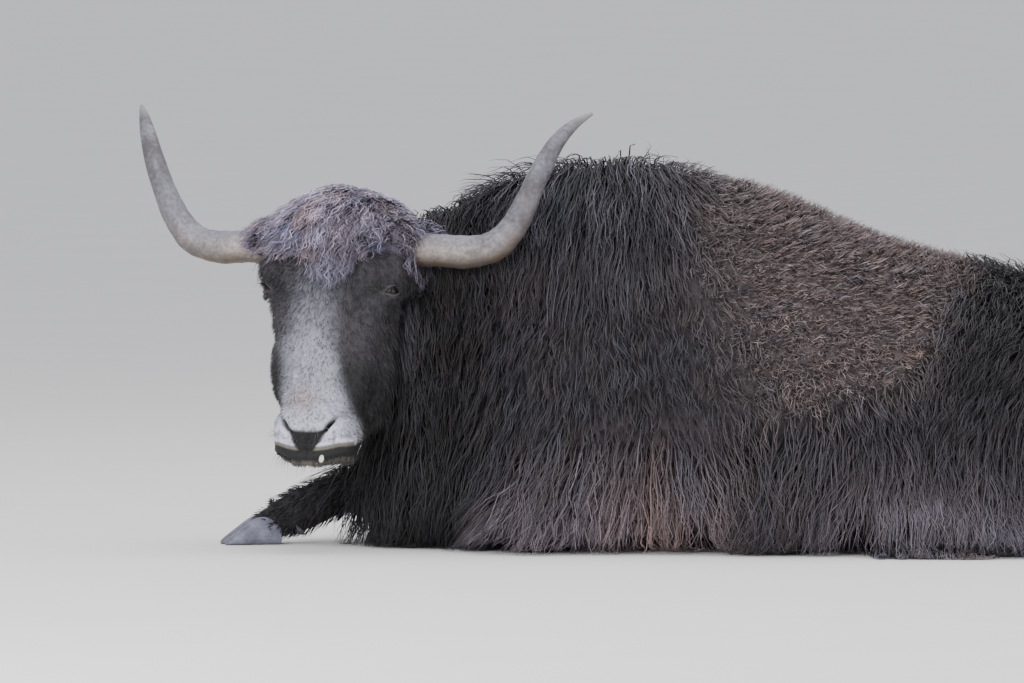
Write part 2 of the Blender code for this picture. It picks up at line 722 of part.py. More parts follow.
def grow_forelock(grower):
    """Clumps that hang from the poll over the forehead."""
    frame = head_frame()
    turn = frame.to_3x3()
    for height, count in FORELOCK_ROWS:
        for x in spread(-FORELOCK_HALF_WIDTH, FORELOCK_HALF_WIDTH, count, grower.draw):
            inside = Vector((x * 0.8, 0.02, height - 0.03))
            outside = inside + Vector((x * 0.5, -0.20, 0.10))
            flow = Vector((x * FORELOCK_FAN, -0.3, -1))
            grower.grow(frame @ outside, frame @ inside, turn @ flow, FORELOCK, FORELOCK_DROOP)


def build_head():
    """The blended skull and jaws, before any opening is cut."""
    mesh = bmesh.new()
    loft(mesh, head_rings(SKULL, HEAD_RINGS))
    loft(mesh, head_rings(MANDIBLE, HEAD_RINGS))
    for side in (1, -1):
        for bulge in FACE_BULGES:
            add_bulge(mesh, bulge, side)
        add_bulge(mesh, LIDS, side)
    mesh.transform(head_frame())
    return blend(new_piece("head", mesh), HEAD_BLEND)


def build_horn(name, mirror):
    """One horn, from its root in the skull to its point."""
    rings = []
    stations = read_stations(HORN, HORN_RINGS)
    centres = [Vector((mirror * at.out, at.back, at.up)) for at in stations]
    for index, at in enumerate(stations):
        along = centres[min(index + 1, HORN_RINGS - 1)] - centres[max(index - 1, 0)]
        side = along.cross(Vector((0, 1, 0))).normalized()
        back = side.cross(along).normalized()
        ring = []
        for k in range(HORN_SIDES):
            angle = 2 * math.pi * k / HORN_SIDES
            spoke = side * math.cos(angle) + back * math.sin(angle)
            ring.append(centres[index] + spoke * at.radius)
        rings.append(ring)
    mesh = bmesh.new()
    loft(mesh, rings)
    mesh.transform(head_frame(nod=0.0))
    return new_piece(name, mesh)


def build_ear(name, mirror):
    """One cupped ear, closed round at its root."""
    points = Vector((mirror * EAR_POINTS.x, EAR_POINTS.y, EAR_POINTS.z))
    root = Vector((mirror * EAR_ROOT.x, EAR_ROOT.y, EAR_ROOT.z))
    opens = Vector((mirror * EAR_OPENS.x, EAR_OPENS.y, EAR_OPENS.z))
    opens = (opens - points * opens.dot(points)).normalized()
    across = points.cross(opens)
    rings = []
    for share, width, thick, cup in EAR_SHAPE:
        centre = root + points * share * EAR_LENGTH
        ring = []
        for k in range(EAR_SIDES):
            angle = 2 * math.pi * k / EAR_SIDES
            side, depth = math.cos(angle), math.sin(angle)
            bend = EAR_CUP * cup * (side * side - 0.5)
            offset = opens * (depth * thick * EAR_THICKNESS + bend)
            ring.append(centre + across * side * width * EAR_HALF_WIDTH + offset)
        rings.append(ring)
    mesh = bmesh.new()
    loft(mesh, rings)
    mesh.transform(head_frame())
    return new_piece(name, mesh)


def eye_ball(name, mirror):
    """An eyeball in its place."""
    mesh = bmesh.new()
    place = Matrix.Translation((mirror * EYE_PLACE.x, EYE_PLACE.y, EYE_PLACE.z))
    looks = Vector((mirror * EYE_LOOKS.x, EYE_LOOKS.y, EYE_LOOKS.z))
    turn = looks.to_track_quat("Z", "Y").to_matrix().to_4x4()
    bmesh.ops.create_uvsphere(
        mesh,
        u_segments=EYE_SIDES,
        v_segments=EYE_SIDES * 2 // 3,
        radius=EYE_RADIUS,
        matrix=place @ turn,
    )
    mesh.transform(head_frame())
    return new_piece(name, mesh)


def eye_opening(mirror):
    """The almond between the lids, as a tunnel out from the eye's middle."""
    looks = Vector((mirror * EYE_LOOKS.x, EYE_LOOKS.y, EYE_LOOKS.z))
    up = (Vector((0, 0, 1)) - looks * looks.z).normalized()
    across = up.cross(looks)
    centre = Vector((mirror * EYE_PLACE.x, EYE_PLACE.y, EYE_PLACE.z))
    rings = []
    for depth in LID_DEPTHS:
        ring = []
        for k in range(LID_SIDES):
            angle = 2 * math.pi * k / LID_SIDES
            side, height = math.cos(angle), math.sin(angle)
            narrow = 1 - LID_CORNERS * side * side
            offset = across * side * LID_OPENING[0] + up * height * narrow * LID_OPENING[1]
            ring.append(centre + looks * depth + offset)
        rings.append(ring)
    mesh = bmesh.new()
    loft(mesh, rings)
    mesh.transform(head_frame())
    return new_piece("opening", mesh)


def nostril(mirror):
    """The cutter of one comma-shaped nostril."""
    mesh = bmesh.new()
    place = Matrix.Translation((mirror * NOSTRIL.x, NOSTRIL.y, NOSTRIL.z))
    turn = Matrix.Rotation(mirror * NOSTRIL_SLANT, 4, "Y")
    size = Matrix.Diagonal((NOSTRIL.rx, NOSTRIL.ry, NOSTRIL.rz, 1))
    bmesh.ops.create_uvsphere(
        mesh, u_segments=10, v_segments=6, radius=1, matrix=place @ turn @ size
    )
    mesh.transform(head_frame())
    return new_piece("nostril", mesh)


def build_incisor():
    """The one tooth that shows between the lips."""
    mesh = bmesh.new()
    bmesh.ops.create_cube(mesh, size=1, matrix=Matrix.Translation(INCISOR_PLACE) @ INCISOR_SIZE)
    bmesh.ops.bevel(mesh, geom=mesh.edges[:], offset=INCISOR_EDGE, segments=1, affect="EDGES")
    mesh.transform(head_frame())
    return new_piece("incisor", mesh)


def build_limb(name, stations, mirror=1):
    """One length of a leg."""
    turned = [at._replace(y=mirror * at.y) for at in stations]
    mesh = bmesh.new()
    loft(mesh, tube_rings(turned, LIMB_RINGS, LIMB_SIDES))
    return new_piece(name, mesh)


def build_claws(pair):
    """The two claws of a hoof, with flat soles on the floor."""
    claws = []
    turn = Matrix.Rotation(math.radians(pair.heading), 4, "Z")
    place = Matrix.Translation((pair.x, pair.y, 0))
    for label, side in (("a", 1), ("b", -1)):
        rings = []
        for share, wide, high in CLAW_SHAPE:
            middle = side * (CLEFT / 2 + CLAW_HALF_WIDTH * (1 - CLAW_TOE_IN * share))
            half = CLAW_HALF_WIDTH * wide
            ring = []
            for k in range(CLAW_SIDES):
                across, up = oval(2 * math.pi * k / CLAW_SIDES, CLAW_SQUARE)
                share_up = 0.5 + 0.5 * up
                height = CLAW_HEIGHT * high * share_up
                lean = 1 - CLAW_LEAN * share_up
                ring.append(Vector((share * CLAW_LENGTH, middle + across * half * lean, height)))
            rings.append(ring)
        mesh = bmesh.new()
        loft(mesh, rings)
        mesh.transform(place @ turn)
        claws.append(new_piece(f"{pair.name}_{label}", mesh))
    return claws


def build_dewclaws(pair):
    """The two small claws behind a fetlock."""
    dewclaws = []
    turn = Matrix.Rotation(math.radians(pair.heading), 4, "Z")
    place = Matrix.Translation((pair.x, pair.y, 0))
    for label, side in (("a", 1), ("b", -1)):
        rings = []
        for share, radius in DEWCLAW_SHAPE:
            centre = DEWCLAW_ROOT + (DEWCLAW_TIP - DEWCLAW_ROOT) * share
            ring = []
            for k in range(DEWCLAW_SIDES):
                angle = 2 * math.pi * k / DEWCLAW_SIDES
                spoke = Vector((0, math.cos(angle), math.sin(angle)))
                ring.append(Vector((centre.x, side * centre.y, centre.z)) + spoke * radius)
            rings.append(ring)
        mesh = bmesh.new()
        loft(mesh, rings)
        mesh.transform(place @ turn)
        dewclaws.append(new_piece(f"dewclaw_{pair.name[5:]}_{label}", mesh))
    return dewclaws


def build_tail(body):
    """The tail with the locks of its tuft, and the rooms that it takes up."""
    mesh = bmesh.new()
    rings = tube_rings(TAIL, TAIL_RINGS, TAIL_SIDES)
    loft(mesh, rings)
    tail = new_piece("tail", mesh)
    centres = [sum(ring, Vector()) / len(ring) for ring in rings]
    grower = Grower(tail, [], random.Random(SEED + 2))
    for number, share in enumerate(spread(TUFT_FROM, TUFT_TO, TUFT_LOCKS, grower.draw)):
        index = round(share * (len(centres) - 1))
        along = centres[min(index + 1, len(centres) - 1)] - centres[index - 1]
        out = Vector((1, TUFT_SIDES[number % len(TUFT_SIDES)], 0.3))
        grower.grow(centres[index] + out, centres[index], along, TUFT, TUFT_DROOP)
    rooms = [grown(piece) for piece in [tail] + grower.locks]
    return combine(tail, grower.locks, "UNION"), rooms


def paint(piece, finish):
    """Gives a piece its material."""
    material = bpy.data.materials.get(finish)
    if material is None:
        colour, roughness = FINISHES[finish]
        material = bpy.data.materials.new(finish)
        material.use_nodes = True
        shader = material.node_tree.nodes["Principled BSDF"]
        shader.inputs["Base Color"].default_value = (*colour, 1)
        shader.inputs["Roughness"].default_value = roughness
        shader.inputs["Metallic"].default_value = 0
    piece.data.materials.clear()
    piece.data.materials.append(material)
    return piece


def build_head_nodes():
    """Makes the nodes of the head and returns the rooms that the neck leaves free."""
    frame = head_frame()
    horns = [build_horn("horn_left", 1), build_horn("horn_right", -1)]
    ears = [build_ear("ear_left", 1), build_ear("ear_right", -1)]
    eyes = [eye_ball("eye_left", 1), eye_ball("eye_right", -1)]
    incisor = build_incisor()
    rooms = [grown(piece) for piece in horns + ears + eyes]
    tooth_room = grown(incisor)
    head = build_head()
    grower = Grower(head, [], random.Random(SEED))
    grow_forelock(grower)
    combine(head, grower.locks, "UNION")
    clear_of(head, rooms)
    combine(head, [eye_opening(1), eye_opening(-1), nostril(1), nostril(-1)], "DIFFERENCE")
    trim(head, head_prism(HEAD_OUTLINE, half_width=HEAD_HALF_WIDTH))
    jaw = trim(copy_of(head), head_prism(JAW_LINE + JAW_SPACE))
    jaw.name = "lower_jaw"
    combine(head, [head_prism(JAW_LINE + JAW_SPACE, (-GAP, GAP))], "DIFFERENCE")
    combine(jaw, [head_prism(MOUTH_WEDGE)], "DIFFERENCE")
    faces_down = frame.to_3x3() @ MUZZLE_FACES
    muzzle = trim(copy_of(head), half_space(frame @ MUZZLE_EDGE, faces_down, GAP))
    muzzle.name = "muzzle"
    trim(head, half_space(frame @ MUZZLE_EDGE, -faces_down))
    for piece in (jaw, muzzle):
        clear_of(piece, [tooth_room])
    for piece, finish in ((head, "face_hair"), (jaw, "chin_hair"), (muzzle, "muzzle_skin")):
        paint(keep_largest(piece), finish)
    paint(incisor, "tooth")
    for pair, finish in ((eyes, "eye"), (ears, "ear_hair"), (horns, "horn")):
        for piece in pair:
            paint(piece, finish)
    discard(tooth_room)
    return rooms


def build_leg_nodes():
    """Makes the nodes of the legs and returns the rooms that the trunk leaves free."""
    limbs = {name: build_limb(name, stations) for name, stations in LIMBS.items()}
    for name, source in MIRRORED_LIMBS.items():
        limbs[name] = build_limb(name, LIMBS[source], -1)
    rooms = {name: grown(limb) for name, limb in limbs.items()}
    for (upper, lower), pair in zip(LEG_PAIRS, HOOVES):
        small = build_claws(pair) + build_dewclaws(pair)
        for piece in small:
            rooms[piece.name] = grown(piece)
            paint(piece, "hoof")
        small_rooms = [rooms[piece.name] for piece in small]
        clear_of(limbs[upper], small_rooms + [rooms[lower]])
        clear_of(limbs[lower], small_rooms)
    for limb in limbs.values():
        paint(keep_largest(trim(limb, above_floor())), "leg_hair")
    return list(rooms.values())


def part_at(body, name, point, faces):
    """Parts a piece by a plane. The side that the plane faces becomes a new piece."""
    ahead = trim(copy_of(body), half_space(point, faces, GAP))
    ahead.name = name
    trim(body, half_space(point, -faces))
    return ahead


def main():
    for old in list(bpy.data.objects):
        bpy.data.objects.remove(old)
    legs = build_leg_nodes()
    rooms = build_head_nodes() + legs
    body = build_body()
    tail, tail_rooms = build_tail(body)
    rooms += tail_rooms
    grower = Grower(body, legs, random.Random(SEED + 1))
    grow_sides(grower)
    grow_fan(grower, RUMP_CENTRE, 0, RUMP_ROWS)
    grow_fan(grower, THROAT_CENTRE, THROAT_HEADING, THROAT_ROWS)
    combine(body, grower.locks, "UNION")
    clear_of(body, rooms)
    combine(body, [head_prism(HEAD_OUTLINE, (GAP, 0.0), HEAD_HALF_WIDTH + GAP)], "DIFFERENCE")
    trim(body, above_floor())
    neck = part_at(body, "neck", NECK_BASE, NECK_BASE_FACES)
    rear = part_at(body, "torso_rear", Vector((BARREL_EDGE, 0, 0)), Vector((1, 0, 0)))
    middle = part_at(body, "torso_middle", Vector((SHOULDER_EDGE, 0, 0)), Vector((1, 0, 0)))
    body.name = "torso_front"
    trim(tail, above_floor())
    for piece in (neck, rear, middle, body, tail):
        paint(keep_largest(piece), "coat")
    for room in rooms:
        discard(room)


main()
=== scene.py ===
"""Looks of a resting domestic yak as a still life-size model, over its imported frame.

The file builds the skin, the eyes, horns and claws, and then the coat as solid tapered
strands that follow the lie of the hair. World coordinates are those of the frame: metres,
+X to the rump, -Y to the camera, +Z up, with the floor at Z = 0.
"""

import json
import logging
import math
from dataclasses import dataclass, field, replace
from enum import Enum

import bmesh
import bpy
import numpy as np
from mathutils import Matrix, Vector
from mathutils.bvhtree import BVHTree
from mathutils.kdtree import KDTree

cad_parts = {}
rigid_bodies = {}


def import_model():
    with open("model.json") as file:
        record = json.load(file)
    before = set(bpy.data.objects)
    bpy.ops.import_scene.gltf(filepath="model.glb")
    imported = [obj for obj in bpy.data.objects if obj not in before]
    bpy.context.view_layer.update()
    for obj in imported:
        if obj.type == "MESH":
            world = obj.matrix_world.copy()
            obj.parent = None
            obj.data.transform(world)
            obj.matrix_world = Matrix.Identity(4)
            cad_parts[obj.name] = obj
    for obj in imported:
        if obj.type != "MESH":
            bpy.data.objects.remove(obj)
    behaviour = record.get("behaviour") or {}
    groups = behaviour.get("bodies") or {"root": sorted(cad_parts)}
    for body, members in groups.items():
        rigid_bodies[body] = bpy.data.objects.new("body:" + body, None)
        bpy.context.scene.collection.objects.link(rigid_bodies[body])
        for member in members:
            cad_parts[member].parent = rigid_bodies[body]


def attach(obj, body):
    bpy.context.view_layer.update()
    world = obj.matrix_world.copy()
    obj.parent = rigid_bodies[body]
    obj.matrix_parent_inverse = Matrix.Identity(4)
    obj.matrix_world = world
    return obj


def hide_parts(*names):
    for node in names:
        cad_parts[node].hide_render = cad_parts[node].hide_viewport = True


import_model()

LOG = logging.getLogger("yak")
SEED = 11
UP = np.array((0.0, 0.0, 1.0))
Table = tuple[tuple[float, ...], ...]
Shell = tuple[np.ndarray, list[list[int]]]
Colour = tuple[float, float, float]


def unit(vectors: np.ndarray) -> np.ndarray:
    """Vectors scaled to length one along the last axis."""
    return vectors / np.maximum(np.linalg.norm(vectors, axis=-1, keepdims=True), 1e-9)


def ramp(values: np.ndarray, low: float, high: float) -> np.ndarray:
    """Smooth step from 0 at low to 1 at high. High may be the smaller of the two."""
    share = np.clip((values - low) / (high - low), 0.0, 1.0)
    return share * share * (3.0 - 2.0 * share)


def bell(values: np.ndarray, middle: float, width: float) -> np.ndarray:
    """Bell curve of height one."""
    return np.exp(-(((values - middle) / width) ** 2))


def interpolate(values: np.ndarray, table: Table) -> np.ndarray:
    """Reads a table of two columns."""
    places, levels = np.array(table).T
    return np.interp(values, places, levels)


def mix(first: np.ndarray, second: np.ndarray, share: np.ndarray) -> np.ndarray:
    """Blend of two colour arrays by a share for each point."""
    return first + (second - first) * share[..., None]


def resample(table: Table, count: int) -> np.ndarray:
    """Reads a table of stations evenly along a smooth curve.

    Args:
        table: Rows of equal length.
        count: Number of rows wanted.

    Returns:
        An array of count rows.
    """
    rows = np.array(table, dtype=float)
    last = len(rows) - 1
    place = np.linspace(0, last, count)
    index = np.minimum(place.astype(int), last - 1)
    share = (place - index)[:, None]
    before, start, end, after = (rows[np.clip(index + k, 0, last)] for k in (-1, 0, 1, 2))
    return 0.5 * (
        2 * start
        + (end - before) * share
        + (2 * before - 5 * start + 4 * end - after) * share**2
        + (3 * start - before - 3 * end + after) * share**3
    )


def oval(angle: np.ndarray, power: np.ndarray | float) -> tuple[np.ndarray, np.ndarray]:
    """Points on a superellipse of half sizes one, as two arrays."""
    cosine, sine = np.cos(angle), np.sin(angle)
    return (
        np.sign(cosine) * np.abs(cosine) ** (2 / power),
        np.sign(sine) * np.abs(sine) ** (2 / power),
    )


def loft(rings: np.ndarray) -> Shell:
    """Closed tube through rings.

    Args:
        rings: Array of rows, points in a row, and their three coordinates.

    Returns:
        Points and faces, each end closed by a fan.
    """
    rows, sides, _ = rings.shape
    points = np.vstack([rings.reshape(-1, 3), rings[0].mean(0), rings[-1].mean(0)])
    k = np.arange(sides)
    after = (k + 1) % sides
    faces: list[list[int]] = []
    for row in range(rows - 1):
        near, far = row * sides, (row + 1) * sides
        faces += np.stack([near + k, near + after, far + after, far + k], 1).tolist()
    first, last, top = rows * sides, rows * sides + 1, (rows - 1) * sides
    faces += np.stack([after, k, np.full(sides, first)], 1).tolist()
    faces += np.stack([top + k, top + after, np.full(sides, last)], 1).tolist()
    return points, faces


def ellipsoid(centre: tuple[float, ...], radii: tuple[float, ...]) -> Shell:
    """A closed ball stretched to three radii."""
    turns = np.linspace(0.06, math.pi - 0.06, 15)
    around = np.linspace(0, 2 * math.pi, 24, endpoint=False)
    ring = np.stack([np.cos(around), np.sin(around), np.zeros(24)], 1)
    rings = ring[None] * np.sin(turns)[:, None, None]
    rings[:, :, 2] = -np.cos(turns)[:, None]
    return loft(rings * np.array(radii) + np.array(centre))


def along_line(centres: np.ndarray) -> np.ndarray:
    """Direction of a line at each of its points."""
    ahead = np.vstack([centres[1:], centres[-1:]])
    behind = np.vstack([centres[:1], centres[:-1]])
    return unit(ahead - behind)


def tube(stations: Table, count: int, sides: int, inset: float, power: float = 2.1) -> Shell:
    """A tube square to a centre line.

    Args:
        stations: Rows of x, y, z, half width and half height.
        count: Number of rings.
        sides: Points in a ring.
        inset: How far the surface lies inside the stated half sizes.
        power: Roundness of the section.

    Returns:
        The closed shell.
    """
    rows = resample(stations, count)
    centres = rows[:, :3]
    along = along_line(centres)
    across = unit(np.cross(along, UP))
    up = unit(np.cross(across, along))
    side, height = oval(np.linspace(0, 2 * math.pi, sides, endpoint=False), power)
    wide = np.maximum(rows[:, 3] - inset, 0.004)[:, None] * side
    high = np.maximum(rows[:, 4] - inset, 0.004)[:, None] * height
    rings = centres[:, None] + across[:, None] * wide[..., None] + up[:, None] * high[..., None]
    return loft(rings)


def new_object(name: str, shells: list[Shell]) -> bpy.types.Object:
    """An object whose mesh holds the shells, with its faces turned outwards."""
    points, faces, count = [], [], 0
    for shell_points, shell_faces in shells:
        volume = signed_volume(shell_points, shell_faces)
        turned = shell_faces if volume > 0 else [face[::-1] for face in shell_faces]
        points.append(shell_points)
        faces += [[corner + count for corner in face] for face in turned]
        count += len(shell_points)
    mesh = bpy.data.meshes.new(name)
    mesh.from_pydata(np.vstack(points).tolist(), [], faces)
    piece = bpy.data.objects.new(name, mesh)
    bpy.context.scene.collection.objects.link(piece)
    return piece


def signed_volume(points: np.ndarray, faces: list[list[int]]) -> float:
    """Volume inside a closed shell, below zero where it is inside out."""
    total = 0.0
    for face in faces:
        first = points[face[0]]
        for second, third in zip(face[1:], face[2:]):
            total += float(np.dot(first, np.cross(points[second], points[third])))
    return total / 6


def settle(piece: bpy.types.Object) -> bpy.types.Object:
    """Bakes the modifiers of a piece into its mesh and removes them."""
    graph = bpy.context.evaluated_depsgraph_get()
    mesh = bpy.data.meshes.new_from_object(piece.evaluated_get(graph))
    piece.modifiers.clear()
    piece.data = mesh
    return piece


def fuse(piece: bpy.types.Object, voxel: float, rounds: int) -> bpy.types.Object:
    """Fuses overlapping shells into one skin.

    Args:
        piece: The object that holds the shells.
        voxel: Size of the cells, which is about that of the new faces.
        rounds: Rounds of smoothing.

    Returns:
        The same object with its new mesh.
    """
    fused = piece.modifiers.new("fused", "REMESH")
    fused.mode = "VOXEL"
    fused.voxel_size = voxel
    relaxed = piece.modifiers.new("relaxed", "SMOOTH")
    relaxed.factor = 0.5
    relaxed.iterations = rounds
    return settle(piece)


def carve(piece: bpy.types.Object, cutters: list[bpy.types.Object]) -> None:
    """Cuts closed shapes out of a piece and removes them."""
    for cutter in cutters:
        cut = piece.modifiers.new("cut", "BOOLEAN")
        cut.operation = "DIFFERENCE"
        cut.solver = "MANIFOLD"
        cut.object = cutter
        settle(piece)
        bpy.data.objects.remove(cutter)


def mesh_points(mesh: bpy.types.Mesh) -> np.ndarray:
    """Places of a mesh's vertices."""
    points = np.empty(len(mesh.vertices) * 3)
    mesh.vertices.foreach_get("co", points)
    return points.reshape(-1, 3)


def mesh_normals(mesh: bpy.types.Mesh) -> np.ndarray:
    """Normals of a mesh's vertices."""
    normals = np.empty(len(mesh.vertices) * 3)
    mesh.vertex_normals.foreach_get("vector", normals)
    return normals.reshape(-1, 3)


def move_points(mesh: bpy.types.Mesh, points: np.ndarray) -> None:
    """Gives a mesh's vertices new places."""
    mesh.vertices.foreach_set("co", points.ravel())
    mesh.update()


def add_layer(mesh: bpy.types.Mesh, name: str, values: np.ndarray) -> None:
    """Stores a value or a colour at each vertex, to be read by a material."""
    if values.ndim == 1:
        layer = mesh.attributes.new(name, "FLOAT", "POINT")
        layer.data.foreach_set("value", values.astype(np.float32))
    else:
        layer = mesh.attributes.new(name, "FLOAT_COLOR", "POINT")
        opaque = np.hstack([values, np.ones((len(values), 1))])
        layer.data.foreach_set("color", opaque.ravel().astype(np.float32))


def smooth_faces(piece: bpy.types.Object) -> None:
    """Shades a piece as a rounded surface."""
    piece.data.polygons.foreach_set("use_smooth", np.ones(len(piece.data.polygons), bool))
    piece.data.update()


class Part(Enum):
    """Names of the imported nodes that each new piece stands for."""

    FLESH = (
        "head", "muzzle", "lower_jaw", "ear_left", "ear_right", "neck", "torso_front",
        "torso_middle", "torso_rear", "tail", "forearm_left", "forearm_right",
        "cannon_fore_left", "cannon_fore_right", "shank_left", "shank_right",
        "cannon_hind_left", "cannon_hind_right",
    )
    EYES = ("eye_left", "eye_right")
    HORNS = ("horn_left", "horn_right")


@dataclass(frozen=True)
class HeadFrame:
    """The head's own frame: X to its left, -Y out of the forehead, Z up the face."""

    place: Colour = (-0.643, -0.120, 0.554)
    turn: float = math.radians(-22)
    nod: float = math.radians(-23)
    eye: tuple[float, ...] = (0.1160, -0.0225, -0.0940)
    eye_radius: float = 0.0170
    eye_looks: tuple[float, ...] = (0.80, -0.60, -0.05)
    eye_slant: float = math.radians(22)
    lid_opening: tuple[float, float] = (0.0150, 0.0070)
    mouth_slope: float = 0.469
    mouth_height: float = -0.395
    muzzle_shift: float = 0.012

    def matrix(self, nods: bool = True) -> Matrix:
        """The frame as a matrix, or only turned and level without the nod."""
        tilt = Matrix.Rotation(self.nod if nods else 0.0, 4, "X")
        return Matrix.Translation(self.place) @ Matrix.Rotation(self.turn, 4, "Z") @ tilt

    def place_out(self, points: np.ndarray, nods: bool = True) -> np.ndarray:
        """Points of the head's frame in world coordinates."""
        turn = np.array(self.matrix(nods))
        leant = points + self.shift(points) if nods else points
        return leant @ turn[:3, :3].T + turn[:3, 3]

    def turn_out(self, vectors: np.ndarray) -> np.ndarray:
        """Directions of the head's frame in world coordinates."""
        return vectors @ np.array(self.matrix())[:3, :3].T

    def place_in(self, points: np.ndarray) -> np.ndarray:
        """World points in the head's frame."""
        turn = np.array(self.matrix())
        local = (points - turn[:3, 3]) @ turn[:3, :3]
        return local - self.shift(local)

    def shift(self, local: np.ndarray) -> np.ndarray:
        """How far the muzzle bends to the animal's left, as an offset of each point."""
        z = local[:, 2:3]
        share = 0.25 * ramp(z, -0.02, -0.08) + 0.75 * ramp(z, -0.12, -0.38)
        return self.muzzle_shift * share * np.array((1.0, 0.0, 0.0))

    @staticmethod
    def mouth_rise(side: np.ndarray) -> np.ndarray:
        """How far the mouth's line lies higher at a distance from the middle of the face."""
        return 0.005 * np.minimum(np.abs(side) / 0.045, 1.35) ** 2

    def mouth_level(self, local: np.ndarray) -> np.ndarray:
        """Height of points of the head's frame over the mouth's line."""
        line = self.mouth_height + self.mouth_slope * local[:, 1]
        return local[:, 2] - line - self.mouth_rise(local[:, 0])

    def eye_axes(self) -> tuple[np.ndarray, np.ndarray, np.ndarray]:
        """Where the left eye looks, and the directions across and up its opening."""
        looks = unit(np.array(self.eye_looks))
        level = unit(UP - looks * looks[2])
        back = np.cross(level, looks) * np.sign(np.cross(level, looks)[1])
        across = back * math.cos(self.eye_slant) + level * math.sin(self.eye_slant)
        return looks, across, level * math.cos(self.eye_slant) - back * math.sin(self.eye_slant)

    def eye_share(self, local: np.ndarray) -> np.ndarray:
        """Distance from the middle of the nearer eye's opening, which ends at one.

        Args:
            local: Points in the head's frame.

        Returns:
            The share for each point, large behind and far from the eye.
        """
        folded = np.column_stack([np.abs(local[:, 0]), local[:, 1], local[:, 2]])
        away = folded - np.array(self.eye)
        looks, across, up = self.eye_axes()
        wide, high = self.lid_opening
        side, height = away @ across / wide, away @ up / high
        narrow = 1 - 0.35 * np.clip(side, -1, 1) ** 2
        hidden = (away @ looks < 0) | (np.linalg.norm(away, axis=1) > self.eye_radius + 0.016)
        return np.hypot(side, height / narrow) + 9.0 * hidden


HEAD = HeadFrame()


